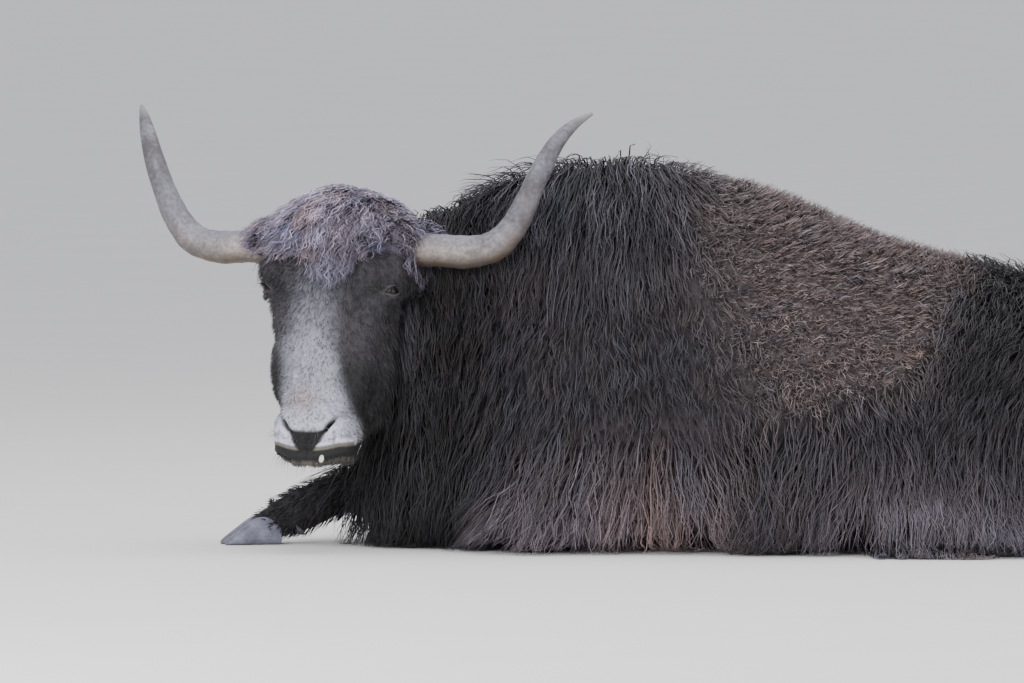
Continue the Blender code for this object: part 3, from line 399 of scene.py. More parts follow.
@dataclass(frozen=True)
class CoatColours:
    """Colours of the coat, with painted shade under the head and behind the elbow, the same for the skin and for the
    strands that grow on it.
    """

    dark: Colour = (0.0485, 0.0420, 0.0500)
    black: Colour = (0.0160, 0.0140, 0.0160)
    crest: Colour = (0.0500, 0.0460, 0.0580)
    skirt: Colour = (0.1450, 0.1210, 0.1450)
    wool: Colour = (0.1750, 0.1360, 0.1360)
    rust: Colour = (0.2050, 0.1500, 0.1600)
    tuft: Colour = (0.2350, 0.1750, 0.1660)
    tuft_place: Colour = (0.398, -0.310, 0.372)
    forelock: Colour = (0.1900, 0.1640, 0.2140)
    cheek: Colour = (0.0540, 0.0490, 0.0560)
    jowl: Colour = (0.0200, 0.0185, 0.0205)
    brow: Colour = (0.0400, 0.0370, 0.0420)
    bridge: Colour = (0.9400, 0.9200, 1.0800)
    bridge_levels: Table = ((-0.41, 0.86), (-0.385, 0.70), (-0.35, 0.52), (-0.29, 0.40), (-0.25, 0.375),
                            (-0.207, 0.37), (-0.174, 0.265), (-0.12, 0.16), (-0.09, 0.13))
    bridge_widths: Table = ((-0.33, 0.070), (-0.28, 0.056), (-0.25, 0.053), (-0.207, 0.048), (-0.17, 0.044),
                            (-0.12, 0.048), (-0.09, 0.050))
    bridge_edges: Table = ((-0.28, 0.9), (-0.24, 1.1), (-0.20, 1.7), (-0.09, 1.8))
    bridge_middles: Table = ((-0.33, 0.0), (-0.25, -0.006), (-0.207, -0.018), (-0.15, -0.015), (-0.10, -0.012))
    pad_widths: Table = ((-0.420, 0.010), (-0.4145, 0.0125), (-0.408, 0.020), (-0.397, 0.0285), (-0.380, 0.033))
    lid: Colour = (0.1000, 0.0880, 0.0900)
    lip_edge: Colour = (0.1350, 0.1230, 0.0780)
    tan: Colour = (0.3600, 0.2700, 0.2250)
    nose: Colour = (0.0060, 0.0057, 0.0063)
    lip: Colour = (0.0140, 0.0130, 0.0125)
    chin: Colour = (0.1700, 0.1500, 0.1300)

    def colour(self, points: np.ndarray) -> np.ndarray:
        """Colour of the coat at world points.

        Args:
            points: Places on the skin.

        Returns:
            One linear colour for each place.
        """
        local = HEAD.place_in(points)
        on_face = self.face_share(local)
        return mix(self.body(points), self.face(local), on_face)

    def face_share(self, local: np.ndarray) -> np.ndarray:
        """How far points belong to the face and not to the neck behind it."""
        near = ramp(np.abs(local[:, 0]), 0.150, 0.130) * ramp(local[:, 1], 0.16, 0.08)
        return near * ramp(local[:, 2], 0.15, 0.11) * ramp(local[:, 2], -0.472, -0.452)

    def wool_share(self, points: np.ndarray) -> np.ndarray:
        """How far points belong to the brown, woolly saddle of the flanks."""
        x, y, z = points.T
        x = x + 0.030 * np.sin(19.0 * y) * ramp(y, -0.22, -0.08)
        front = ramp(x + 0.35 * (z - 0.45), -0.07, 0.20)
        back = ramp(x - 0.55 * (z - 0.40), 0.51, 0.40)
        low = ramp(z - 0.30 * (x - 0.10), 0.195, 0.285)
        return front * np.maximum(back, ramp(z, 0.50, 0.56) * ramp(x, 0.62, 0.50)) * low

    def body(self, points: np.ndarray) -> np.ndarray:
        """Colour of the trunk, neck, legs and tail, with painted shade under the head and behind the elbow."""
        x, z = points[:, 0], points[:, 2]
        made = np.broadcast_to(self.dark, points.shape)
        made = mix(made, np.array(self.crest), ramp(z, 0.56, 0.66) * ramp(x, 0.06, -0.06))
        made = mix(made, np.array(self.skirt), ramp(z, 0.26, 0.18) * ramp(x, -0.34, -0.28))
        # Painted shade: the neck and throat under the head are darkened towards black for the shadow the head casts
        # there.
        made = mix(made, np.array(self.black), 0.8 * ramp(x, -0.30, -0.42) * ramp(z, 0.66, 0.56))
        made = mix(made, np.array(self.dark), 0.7 * bell(x, 0.20, 0.08) * ramp(z, 0.28, 0.22))
        made = mix(made, np.array(self.black), 0.65 * ramp(x, 0.46, 0.54) * ramp(z, 0.26, 0.34))
        # Painted shade: near black in the hollow behind the elbow, low on the flank.
        made = mix(made, np.array(self.black), 0.9 * bell(x, 0.125, 0.048) * ramp(z, 0.26, 0.22))
        made = mix(made, np.array(self.rust), 0.8 * ramp(z, 0.27, 0.18) * bell(x, -0.08, 0.12))
        made = mix(made, np.array(self.rust), 0.3 * ramp(z, 0.16, 0.04) * bell(x, -0.52, 0.10))
        made = mix(made, np.array(self.wool), self.wool_share(points))
        away = np.linalg.norm(points - np.array(self.tuft_place), axis=1)
        return mix(made, np.array(self.tuft), 0.7 * ramp(away, 0.034, 0.014))

    def face(self, local: np.ndarray) -> np.ndarray:
        """Colour of the head, from points in its own frame."""
        x, y, z = np.abs(local[:, 0]), local[:, 1], local[:, 2]
        made = mix(np.broadcast_to(self.cheek, local.shape), np.array(self.forelock),
                   ramp(z, -0.035, 0.000) * ramp(y, 0.11, 0.02))
        made = mix(made, np.array(self.jowl), ramp(z, -0.20, -0.27))
        brow = bell(z, -0.10, 0.05) * ramp(y, 0.05, 0.00)
        made = mix(made, np.array(self.brow), brow)
        height, level = np.array(self.bridge_levels).T
        grey = np.interp(z, height, level)[:, None] * np.array(self.bridge)
        width = interpolate(z, self.bridge_widths)
        off = np.abs(local[:, 0] - interpolate(z, self.bridge_middles)) - width
        off = off / interpolate(z, self.bridge_edges)
        middle = ramp(off, 0.018, -0.022) * ramp(y, 0.02, -0.03) * ramp(z, -0.04, -0.09)
        nose = ramp(z, -0.318, -0.345) * ramp(y, 0.040, 0.005)
        made = mix(made, grey, np.maximum(middle, nose))
        rim = bell(HEAD.eye_share(local), 1.35, 0.30)
        made = mix(made, np.array(self.lid), 0.7 * rim)
        made = mix(made, np.array(self.tan), bell(z, -0.318, 0.022) * bell(local[:, 0], -0.020, 0.024) * 0.6)
        level = HEAD.mouth_level(local)
        edge = ramp(level, 0.0112, 0.0074) * ramp(y, 0.01, -0.01) * ramp(z, -0.33, -0.36)
        made = mix(made, np.array(self.lip_edge), 0.92 * edge)
        made = mix(made, np.array(self.nose), self.nose_share(local))
        under = ramp(level, 0.003, -0.001) * ramp(z, -0.33, -0.36)
        made = mix(made, np.array(self.lip), under)
        fringe = ramp(level, -0.017, -0.024) * ramp(y, 0.04, -0.01) * under
        return mix(made, np.array(self.chin), 0.6 * fringe)

    def nose_share(self, local: np.ndarray) -> np.ndarray:
        """How far points belong to the bare black pad between the nostrils."""
        x, y, z = np.abs(local[:, 0]), local[:, 1], local[:, 2]
        pad = ramp(x - interpolate(z, self.pad_widths), 0.0038, -0.0030) * ramp(z, -0.3715, -0.3820)
        slit = bell(x - 0.0425, 0.75 * (z + 0.367), 0.0050) * bell(z, -0.369, 0.022)
        return np.clip(pad + 1.2 * slit, 0, 1) * ramp(y, 0.0, -0.03)


COAT_COLOURS = CoatColours()


class Nodes:
    """A short hand for building shader trees."""

    def __init__(self, tree: bpy.types.NodeTree) -> None:
        """Starts on an existing tree."""
        self.tree = tree

    def add(self, kind: str, values: dict[str, object] | None = None, **settings: object) -> bpy.types.Node:
        """Adds a node.

        Args:
            kind: The node's type.
            values: Values or sockets for its inputs, by name or by number.
            settings: The node's own properties.

        Returns:
            The node.
        """
        node = self.tree.nodes.new(kind)
        for name, value in settings.items():
            setattr(node, name, value)
        for name, value in (values or {}).items():
            if isinstance(value, bpy.types.NodeSocket):
                self.tree.links.new(value, node.inputs[name])
            else:
                node.inputs[name].default_value = value
        return node

    def blend(self, share: object, first: object, second: object, kind: str = "MIX") -> bpy.types.NodeSocket:
        """Mixes two colours and returns the outgoing socket."""
        node = self.add("ShaderNodeMix", data_type="RGBA", blend_type=kind)
        for index, value in ((0, share), (6, first), (7, second)):
            if isinstance(value, bpy.types.NodeSocket):
                self.tree.links.new(value, node.inputs[index])
            else:
                node.inputs[index].default_value = value
        return node.outputs[2]

    def maths(self, kind: str, first: object, second: object) -> bpy.types.NodeSocket:
        """Works out one number and returns the outgoing socket."""
        return self.add("ShaderNodeMath", {0: first, 1: second}, operation=kind).outputs[0]

    def layer(self, name: str, output: str = "Fac") -> bpy.types.NodeSocket:
        """Reads an attribute of the mesh."""
        return self.add("ShaderNodeAttribute", attribute_name=name).outputs[output]

    def place(self) -> bpy.types.NodeSocket:
        """Object coordinates."""
        return self.add("ShaderNodeTexCoord").outputs["Object"]


def mottle_group() -> bpy.types.NodeTree:
    """The shared effect of uneven colour: two sizes of noise as one mask and one height.

    Returns:
        A node group with the inputs Vector, Scale and Contrast and the outputs Mask and Height.
    """
    name = "mottle"
    if name in bpy.data.node_groups:
        return bpy.data.node_groups[name]
    group = bpy.data.node_groups.new(name, "ShaderNodeTree")
    for label, kind, value in (("Vector", "Vector", None), ("Scale", "Float", 40.0), ("Contrast", "Float", 1.0)):
        socket = group.interface.new_socket(label, in_out="INPUT", socket_type=f"NodeSocket{kind}")
        if value is not None:
            socket.default_value = value
    for label in ("Mask", "Height"):
        group.interface.new_socket(label, in_out="OUTPUT", socket_type="NodeSocketFloat")
    nodes = Nodes(group)
    source = nodes.add("NodeGroupInput")
    vector, scale, contrast = source.outputs[0], source.outputs[1], source.outputs[2]
    coarse = nodes.add("ShaderNodeTexNoise", {"Vector": vector, "Scale": scale, "Detail": 4.0})
    finer = nodes.maths("MULTIPLY", scale, 7.0)
    fine = nodes.add("ShaderNodeTexNoise", {"Vector": vector, "Scale": finer, "Detail": 3.0})
    both = nodes.maths("ADD", coarse.outputs["Fac"], nodes.maths("MULTIPLY", fine.outputs["Fac"], 0.5))
    middle = nodes.maths("SUBTRACT", both, 0.75)
    mask = nodes.maths("ADD", nodes.maths("MULTIPLY", middle, contrast), 0.5)
    limited = nodes.add("ShaderNodeClamp", {"Value": mask})
    target = nodes.add("NodeGroupOutput")
    group.links.new(limited.outputs[0], target.inputs["Mask"])
    group.links.new(both, target.inputs["Height"])
    return group


@dataclass(frozen=True)
class Finish:
    """What every finish of this animal shares."""

    name: str
    slot: str
    roughness: float = 0.6

    def start(self) -> tuple[bpy.types.Material, Nodes, bpy.types.Node]:
        """A new material with its tree and its shader."""
        material = bpy.data.materials.new(self.name)
        material.use_nodes = True
        nodes = Nodes(material.node_tree)
        shader = material.node_tree.nodes["Principled BSDF"]
        shader.inputs["Roughness"].default_value = self.roughness
        return material, nodes, shader

    def mottle(self, nodes: Nodes, scale: float, contrast: float) -> bpy.types.Node:
        """The shared mottling, placed in a material with its own values."""
        made = nodes.add("ShaderNodeGroup", node_tree=mottle_group())
        nodes.tree.links.new(nodes.place(), made.inputs["Vector"])
        made.inputs["Scale"].default_value = scale
        made.inputs["Contrast"].default_value = contrast
        return made

    def raise_by(self, nodes: Nodes, shader: bpy.types.Node, height: bpy.types.NodeSocket, depth: float) -> None:
        """Feeds a height to the shader's normal."""
        bump = nodes.add("ShaderNodeBump", {"Height": height, "Distance": depth})
        nodes.tree.links.new(bump.outputs[0], shader.inputs["Normal"])


@dataclass(frozen=True)
class HairFinish(Finish):
    """Strands of hair: marked like the skin, with painted shade towards the root and a painted highlight towards the
    tip.
    """

    root_shade: float = 0.45
    tip_shine: float = 1.35

    def make(self) -> bpy.types.Material:
        """Builds the material."""
        material, nodes, shader = self.start()
        along = nodes.layer("along")
        tone = nodes.layer("tone")
        # Painted shade at the root and painted highlight at the tip, times the strand's random tone.
        root = nodes.add("ShaderNodeMapRange", {"Value": along, 3: self.root_shade, 4: self.tip_shine})
        shade = nodes.maths("MULTIPLY", root.outputs[0], tone)
        grey = nodes.add("ShaderNodeCombineColor", {0: shade, 1: shade, 2: shade}).outputs[0]
        colour = nodes.blend(1.0, nodes.layer("coat", "Color"), grey, "MULTIPLY")
        nodes.tree.links.new(colour, shader.inputs["Base Color"])
        shader.inputs["Specular IOR Level"].default_value = 0.42
        shader.inputs["Sheen Weight"].default_value = 0.05
        return material


@dataclass(frozen=True)
class SkinFinish(Finish):
    """Hide under the coat and the short-haired face."""

    def make(self) -> bpy.types.Material:
        """Builds the material."""
        material, nodes, shader = self.start()
        mottle = self.mottle(nodes, 260.0, 1.2)
        shader.inputs["Specular IOR Level"].default_value = 0.32
        coat = nodes.layer("coat", "Color")
        darker = nodes.blend(1.0, coat, (0.78, 0.78, 0.78, 1), "MULTIPLY")
        colour = nodes.blend(mottle.outputs["Mask"], darker, coat)
        nodes.tree.links.new(colour, shader.inputs["Base Color"])
        bare = nodes.layer("bare")
        rough = nodes.add("ShaderNodeMapRange", {"Value": bare, 3: 0.75, 4: 0.55})
        nodes.tree.links.new(rough.outputs[0], shader.inputs["Roughness"])
        pebble = nodes.add("ShaderNodeTexVoronoi", {"Vector": nodes.place(), "Scale": 420.0})
        height = nodes.maths("MULTIPLY", pebble.outputs["Distance"], bare)
        height = nodes.maths("ADD", height, nodes.maths("MULTIPLY", mottle.outputs["Height"], 0.5))
        self.raise_by(nodes, shader, height, 0.0012)
        return material


@dataclass(frozen=True)
class HornFinish(Finish):
    """Weathered horn: buff below at the base, with painted shade on its underside near the base, blue-grey and pitted
    above, pale at the point.
    """

    base: Colour = (0.640, 0.550, 0.490)
    # under is both the colour of the painted shade on the underside and that of the dark specks.
    under: Colour = (0.090, 0.062, 0.040)
    grey: Colour = (0.200, 0.200, 0.250)
    stain: Colour = (0.070, 0.066, 0.080)
    point: Colour = (0.255, 0.240, 0.220)

    def make(self) -> bpy.types.Material:
        """Builds the material."""
        material, nodes, shader = self.start()
        along, level = nodes.layer("along"), nodes.layer("level")
        to_grey = nodes.add("ShaderNodeMapRange", {"Value": along, 1: 0.16, 2: 0.52})
        to_stains = nodes.add("ShaderNodeMapRange", {"Value": along, 1: 0.10, 2: 0.50, 3: 0.30, 4: 1.0})
        colour = nodes.blend(to_grey.outputs[0], (*self.base, 1), (*self.grey, 1))
        top = nodes.add("ShaderNodeMapRange", {"Value": level, 1: -0.2, 2: 0.9})
        colour = nodes.blend(top.outputs[0], colour, (*self.grey, 1))
        # Painted shade: the underside of the horn, nearer the base, is darkened towards the under colour.
        low = nodes.add("ShaderNodeMapRange", {"Value": level, 1: 0.20, 2: -0.75})
        early = nodes.add("ShaderNodeMapRange", {"Value": along, 1: 0.80, 2: 0.45})
        shade = nodes.maths("MULTIPLY", low.outputs[0], early.outputs[0])
        colour = nodes.blend(shade, colour, (*self.under, 1))
        broad = self.mottle(nodes, 16.0, 4.2)
        patchy = nodes.maths("MULTIPLY", broad.outputs["Mask"], to_stains.outputs[0])
        colour = nodes.blend(nodes.maths("MULTIPLY", patchy, 0.85), colour, (*self.stain, 1))
        fine = self.mottle(nodes, 150.0, 4.0)
        specks = nodes.maths("MULTIPLY", fine.outputs["Mask"], 0.42)
        colour = nodes.blend(specks, colour, (*self.under, 1))
        tip = nodes.add("ShaderNodeMapRange", {"Value": along, 1: 0.86, 2: 0.98})
        colour = nodes.blend(tip.outputs[0], colour, (*self.point, 1))
        nodes.tree.links.new(colour, shader.inputs["Base Color"])
        rough = nodes.add("ShaderNodeMapRange", {"Value": fine.outputs["Mask"], 3: 0.38, 4: 0.62})
        nodes.tree.links.new(rough.outputs[0], shader.inputs["Roughness"])
        self.raise_by(nodes, shader, fine.outputs["Height"], 0.0011)
        return material


@dataclass(frozen=True)
class HoofFinish(Finish):
    """Slate-grey hoof with faint growth rings."""

    slate: Colour = (0.090, 0.090, 0.125)
    worn: Colour = (0.190, 0.190, 0.260)

    def make(self) -> bpy.types.Material:
        """Builds the material."""
        material, nodes, shader = self.start()
        mottle = self.mottle(nodes, 60.0, 2.4)
        rings = nodes.add("ShaderNodeTexWave", {"Vector": nodes.place(), "Scale": 46.0, "Distortion": 3.0},
                          bands_direction="Z")
        colour = nodes.blend(mottle.outputs["Mask"], (*self.slate, 1), (*self.worn, 1))
        ringed = nodes.maths("MULTIPLY", rings.outputs["Fac"], 0.15)
        colour = nodes.blend(ringed, colour, (*self.slate, 1))
        nodes.tree.links.new(colour, shader.inputs["Base Color"])
        height = nodes.maths("ADD", nodes.maths("MULTIPLY", rings.outputs["Fac"], 0.2), mottle.outputs["Height"])
        self.raise_by(nodes, shader, height, 0.0010)
        return material


@dataclass(frozen=True)
class EyeFinish(Finish):
    """Dark brown eye with a level pupil under a clear, wet surface."""

    iris: Colour = (0.008, 0.005, 0.004)
    pupil: Colour = (0.002, 0.002, 0.003)
    white: Colour = (0.024, 0.019, 0.017)

    def make(self) -> bpy.types.Material:
        """Builds the material."""
        material, nodes, shader = self.start()
        edge = nodes.add("ShaderNodeMapRange", {"Value": nodes.layer("away"), 1: 0.60, 2: 0.70})
        colour = nodes.blend(edge.outputs[0], (*self.iris, 1), (*self.white, 1))
        hole = nodes.add("ShaderNodeMapRange", {"Value": nodes.layer("slot"), 1: 1.0, 2: 0.85})
        colour = nodes.blend(hole.outputs[0], colour, (*self.pupil, 1))
        nodes.tree.links.new(colour, shader.inputs["Base Color"])
        shader.inputs["Coat Weight"].default_value = 0.15
        shader.inputs["Coat Roughness"].default_value = 0.08
        shader.inputs["Specular IOR Level"].default_value = 0.2
        return material


@dataclass(frozen=True)
class PlainFinish(Finish):
    """One mottled colour, for the tooth, the whiskers and the floor."""

    colour: Colour = (0.5, 0.5, 0.5)
    other: Colour = (0.4, 0.4, 0.4)
    scale: float = 60.0

    def make(self) -> bpy.types.Material:
        """Builds the material."""
        material, nodes, shader = self.start()
        mottle = self.mottle(nodes, self.scale, 1.5)
        colour = nodes.blend(mottle.outputs["Mask"], (*self.colour, 1), (*self.other, 1))
        nodes.tree.links.new(colour, shader.inputs["Base Color"])
        return material


def dress(piece: bpy.types.Object, finish: Finish, nodes: tuple[str, ...] = ()) -> bpy.types.Object:
    """Gives a piece its material, its body and the nodes it stands for."""
    material = bpy.data.materials.get(finish.name) or finish.make()
    piece.data.materials.clear()
    piece.data.materials.append(material)
    smooth_faces(piece)
    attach(piece, "root")
    if nodes:
        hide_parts(*nodes)
    LOG.info("%s: %d faces", piece.name, len(piece.data.polygons))
    return piece


HIDE = SkinFinish("bare hide", "coat")
HAIR = HairFinish("long hair", "coat", 0.55, 0.50, 1.24)
CURLS = HairFinish("curled hair", "coat", 0.50, 0.22, 1.65)
FACE_HAIR = HairFinish("face hair", "face_hair", 0.58, 0.66, 1.24)
HOOF = HoofFinish("ringed hoof", "hoof", 0.45)
# Painted shade: the hind hooves and the dewclaws, which lie in shade under the coat, get this near-black finish.
HOOF_IN_PAINTED_SHADE = HoofFinish("dark hoof", "hoof", 0.55, (0.020, 0.019, 0.022), (0.042, 0.040, 0.048))


@dataclass
class Trunk:
    """Trunk and neck under the coat."""

    stations: Table = (
        (-0.52, 0.400, 0.24, 0.10, 0.060, 2.0),
        (-0.46, 0.520, 0.26, 0.05, 0.150, 1.9),
        (-0.36, 0.652, 0.27, -0.03, 0.235, 1.7),
        (-0.20, 0.710, 0.27, -0.04, 0.290, 1.5),
        (-0.02, 0.700, 0.26, -0.05, 0.325, 1.6),
        (0.16, 0.648, 0.24, -0.05, 0.350, 1.8),
        (0.34, 0.570, 0.23, -0.05, 0.355, 2.0),
        (0.52, 0.520, 0.23, -0.05, 0.330, 2.0),
        (0.68, 0.480, 0.23, -0.05, 0.285, 2.0),
        (0.80, 0.410, 0.22, -0.03, 0.215, 2.0),
        (0.87, 0.320, 0.20, 0.04, 0.120, 2.0),
    )
    neck: Table = (
        (-0.22, 0.000, 0.420, 0.200, 0.240),
        (-0.36, 0.000, 0.410, 0.185, 0.235),
        (-0.48, -0.010, 0.415, 0.155, 0.205),
        (-0.57, -0.035, 0.425, 0.125, 0.175),
        (-0.620, -0.085, 0.430, 0.112, 0.160),
        (-0.640, -0.150, 0.430, 0.105, 0.150),
    )
    muscles: Table = (
        (-0.17, -0.120, 0.25, 0.260, 0.205, 0.270),
        (-0.19, 0.115, 0.26, 0.250, 0.200, 0.270),
        (0.56, -0.120, 0.20, 0.300, 0.235, 0.250),
        (0.56, 0.120, 0.20, 0.300, 0.235, 0.250),
        (-0.47, -0.020, 0.25, 0.130, 0.140, 0.230),
    )
    belly_roundness: float = 2.3
    depth: float = 0.014

    def shells(self) -> list[Shell]:
        """The overlapping shells that are later fused."""
        rows = resample(self.stations, 40)
        angle = np.linspace(0, 2 * math.pi, 48, endpoint=False)
        power = np.where(angle < math.pi, rows[:, 5:6], self.belly_roundness)
        across, up = oval(angle[None], power)
        above = rows[:, 1:2] - rows[:, 2:3] - self.depth
        below = rows[:, 2:3] - rows[:, 3:4] - self.depth
        level = rows[:, 2:3] + up * np.where(up > 0, above, below)
        side = across * (rows[:, 4:5] - self.depth)
        forward = np.broadcast_to(rows[:, 0:1], side.shape)
        made = [loft(np.stack([forward, side, level], -1))]
        made.append(tube(self.neck, 20, 32, self.depth))
        for x, y, z, *radii in self.muscles:
            made.append(ellipsoid((x, y, z), tuple(r - self.depth for r in radii)))
        return made


@dataclass
class Limbs:
    """Legs and tail, each as centre lines with half widths and half heights."""

    lines: dict[str, Table] = field(default_factory=lambda: {
        "forearm_right": (
            (-0.300, 0.130, 0.150, 0.060, 0.065),
            (-0.400, 0.095, 0.150, 0.052, 0.056),
            (-0.490, 0.060, 0.135, 0.042, 0.045),
            (-0.545, 0.040, 0.122, 0.038, 0.040),
            (-0.590, 0.026, 0.112, 0.038, 0.044),
            (-0.650, 0.008, 0.092, 0.036, 0.044),
            (-0.705, -0.008, 0.068, 0.038, 0.046),
            (-0.745, -0.020, 0.051, 0.040, 0.042),
            (-0.775, -0.029, 0.042, 0.039, 0.033),
            (-0.800, -0.036, 0.036, 0.033, 0.024),
        ),
        "forearm_left": (
            (-0.020, -0.225, 0.120, 0.070, 0.080),
            (-0.110, -0.250, 0.105, 0.060, 0.070),
            (-0.220, -0.265, 0.070, 0.048, 0.055),
            (-0.310, -0.268, 0.048, 0.045, 0.050),
            (-0.352, -0.266, 0.040, 0.028, 0.032),
        ),
        "cannon_fore_left": (
            (-0.325, -0.232, 0.033, 0.030, 0.035),
            (-0.270, -0.192, 0.031, 0.028, 0.033),
            (-0.200, -0.175, 0.031, 0.030, 0.034),
            (-0.165, -0.170, 0.030, 0.034, 0.034),
        ),
        "shank": (
            (0.340, -0.260, 0.120, 0.075, 0.100),
            (0.440, -0.295, 0.095, 0.060, 0.086),
            (0.560, -0.315, 0.064, 0.042, 0.058),
            (0.650, -0.320, 0.047, 0.037, 0.049),
            (0.695, -0.326, 0.038, 0.026, 0.034),
        ),
        "cannon_hind": (
            (0.672, -0.346, 0.034, 0.031, 0.037),
            (0.600, -0.370, 0.033, 0.029, 0.035),
            (0.500, -0.378, 0.032, 0.030, 0.034),
            (0.450, -0.380, 0.032, 0.034, 0.034),
        ),
        "tail": (
            (0.820, 0.000, 0.330, 0.032, 0.030),
            (0.905, -0.005, 0.270, 0.026, 0.026),
            (0.945, -0.020, 0.170, 0.022, 0.022),
            (0.960, -0.070, 0.080, 0.020, 0.020),
            (0.945, -0.150, 0.036, 0.018, 0.018),
            (0.900, -0.220, 0.026, 0.014, 0.014),
        ),
    })
    mirrored: tuple[str, ...] = ("shank", "cannon_hind")
    depth: float = 0.005

    def placed(self) -> list[tuple[str, Table]]:
        """Each line with its name, and those of both sides twice."""
        made = []
        for name, line in self.lines.items():
            for side in (1, -1) if name in self.mirrored else (1,):
                made.append((name, tuple((x, side * y, z, w, h) for x, y, z, w, h in line)))
        return made

    def shells(self) -> list[Shell]:
        """The tubes of the legs and the tail."""
        return [tube(line, 22, 20, self.depth) for _, line in self.placed()]

    def nearest(self, points: np.ndarray, tail: bool) -> tuple[np.ndarray, np.ndarray, np.ndarray]:
        """Finds the leg, or the tail, that points lie nearest to.

        Args:
            points: World points.
            tail: Whether to look at the tail and not at the legs.

        Returns:
            The distance from the centre line in radii, the direction along the limb, and the
            share of its length.
        """
        best = np.full(len(points), 99.0)
        way, share = np.zeros_like(points), np.zeros(len(points))
        for name, line in self.placed():
            if (name == "tail") != tail:
                continue
            rows = resample(line, 24)
            ways, shares = along_line(rows[:, :3]), np.linspace(0, 1, 24)
            radii = rows[:, 3:].mean(1)
            far = np.linalg.norm(points[:, None] - rows[None, :, :3], axis=2) / radii
            index = far.argmin(1)
            least = far.min(1)
            closer = least < best
            best[closer] = least[closer]
            way[closer], share[closer] = ways[index[closer]], shares[index[closer]]
        return best, way, share


LIMBS = Limbs()


@dataclass
class Head:
    """Head and ears, in the head's own frame."""

    skull: Table = (
        (0.100, -0.020, 0.030, 0.050, 2.0),
        (0.080, -0.052, 0.065, 0.088, 2.1),
        (0.040, -0.070, 0.100, 0.112, 2.3),
        (-0.010, -0.077, 0.120, 0.117, 2.4),
        (-0.070, -0.079, 0.130, 0.111, 2.6),
        (-0.130, -0.072, 0.140, 0.105, 2.6),
        (-0.190, -0.062, 0.130, 0.103, 2.6),
        (-0.250, -0.055, 0.100, 0.093, 2.6),
        (-0.300, -0.052, 0.080, 0.079, 2.7),
        (-0.345, -0.054, 0.066, 0.073, 2.9),
        (-0.380, -0.053, 0.056, 0.074, 3.0),
        (-0.404, -0.049, 0.040, 0.066, 2.7),
        (-0.420, -0.044, 0.015, 0.050, 2.4),
    )
    mandible: Table = (
        (-0.150, 0.040, 0.160, 0.058, 2.2),
        (-0.210, 0.030, 0.143, 0.060, 2.2),
        (-0.280, 0.010, 0.112, 0.054, 2.2),
        (-0.340, -0.010, 0.085, 0.049, 2.3),
        (-0.385, -0.026, 0.044, 0.050, 2.4),
        (-0.412, -0.036, 0.014, 0.048, 2.4),
        (-0.427, -0.036, -0.004, 0.042, 2.3),
        (-0.436, -0.032, -0.016, 0.028, 2.1),
    )
    bulges: Table = (
        (0.066, 0.080, -0.125, 0.042, 0.080, 0.095),
        (0.079, 0.000, -0.095, 0.040, 0.050, 0.040),
        (0.068, -0.020, -0.058, 0.048, 0.052, 0.050),
        (0.080, 0.045, -0.112, 0.034, 0.070, 0.030),
        (0.072, -0.008, -0.150, 0.036, 0.046, 0.062),
        (0.064, -0.014, -0.235, 0.036, 0.044, 0.085),
        (0.060, 0.045, -0.235, 0.046, 0.050, 0.095),
        (0.020, -0.037, -0.350, 0.040, 0.027, 0.034),
        (0.046, -0.032, -0.366, 0.028, 0.025, 0.034),
        (0.049, 0.002, -0.391, 0.031, 0.050, 0.027),
        (0.1160, -0.0225, -0.0940, 0.0210, 0.0215, 0.0215),
        (0.086, -0.018, -0.122, 0.030, 0.036, 0.036),
        (0.109, -0.004, -0.052, 0.043, 0.045, 0.044),
    )
    mouth_gap: Table = ((-0.140, 0.0105), (0.030, 0.0020))
    nostril: tuple[float, ...] = (0.0425, -0.056, -0.369)
    nostril_radii: tuple[float, ...] = (0.0040, 0.0200, 0.0225)
    nostril_slant: float = math.radians(37)
    collar: Table = (
        (0.040, 0.010, 0.006, 0.050, 0.058),
        (0.090, 0.008, 0.003, 0.045, 0.051),
        (0.122, 0.008, 0.001, 0.038, 0.041),
        (0.146, 0.008, -0.002, 0.032, 0.032),
    )
    ear_root: tuple[float, ...] = (0.098, 0.048, -0.028)
    ear_points: tuple[float, ...] = (0.62, 0.74, -0.26)
    ear_opens: tuple[float, ...] = (0.55, -0.60, -0.58)
    ear_length: float = 0.118
    ear_half_width: float = 0.036
    ear_thickness: float = 0.0065
    ear_cup: float = 0.022
    ear_shape: Table = (
        (0.00, 0.42, 2.2, 0.00),
        (0.10, 0.55, 1.9, 0.35),
        (0.25, 0.85, 1.1, 0.95),
        (0.50, 1.00, 0.8, 1.00),
        (0.75, 0.80, 0.7, 0.70),
        (0.92, 0.40, 0.6, 0.30),
        (1.00, 0.10, 0.5, 0.00),
    )
    depth: float = 0.002

    def rings(self, table: Table) -> np.ndarray:
        """Rings of the skull or the mandible."""
        rows = resample(table, 44)
        middle, deep = (rows[:, 1:2] + rows[:, 2:3]) / 2, (rows[:, 2:3] - rows[:, 1:2]) / 2
        across, back = oval(np.linspace(0, 2 * math.pi, 40, endpoint=False)[None], rows[:, 4:5])
        side = across * (rows[:, 3:4] - self.depth)
        level = np.broadcast_to(rows[:, 0:1], side.shape)
        return np.stack([side, middle + back * (deep - self.depth), level], -1)

    def ear(self, mirror: int) -> Shell:
        """One cupped ear."""
        flip = np.array((mirror, 1, 1))
        points = unit(np.array(self.ear_points) * flip)
        opens = np.array(self.ear_opens) * flip
        opens = unit(opens - points * opens.dot(points))
        across = np.cross(points, opens)
        rows = resample(self.ear_shape, 26)
        angle = np.linspace(0, 2 * math.pi, 32, endpoint=False)[None]
        side, deep = np.cos(angle), np.sin(angle)
        bend = self.ear_cup * rows[:, 3:4] * (side * side - 0.5)
        lift = deep * rows[:, 2:3] * self.ear_thickness + bend
        wide = side * rows[:, 1:2] * self.ear_half_width
        centre = np.array(self.ear_root) * flip + points * rows[:, 0:1] * self.ear_length
        return loft(centre[:, None] + across * wide[..., None] + opens * lift[..., None])

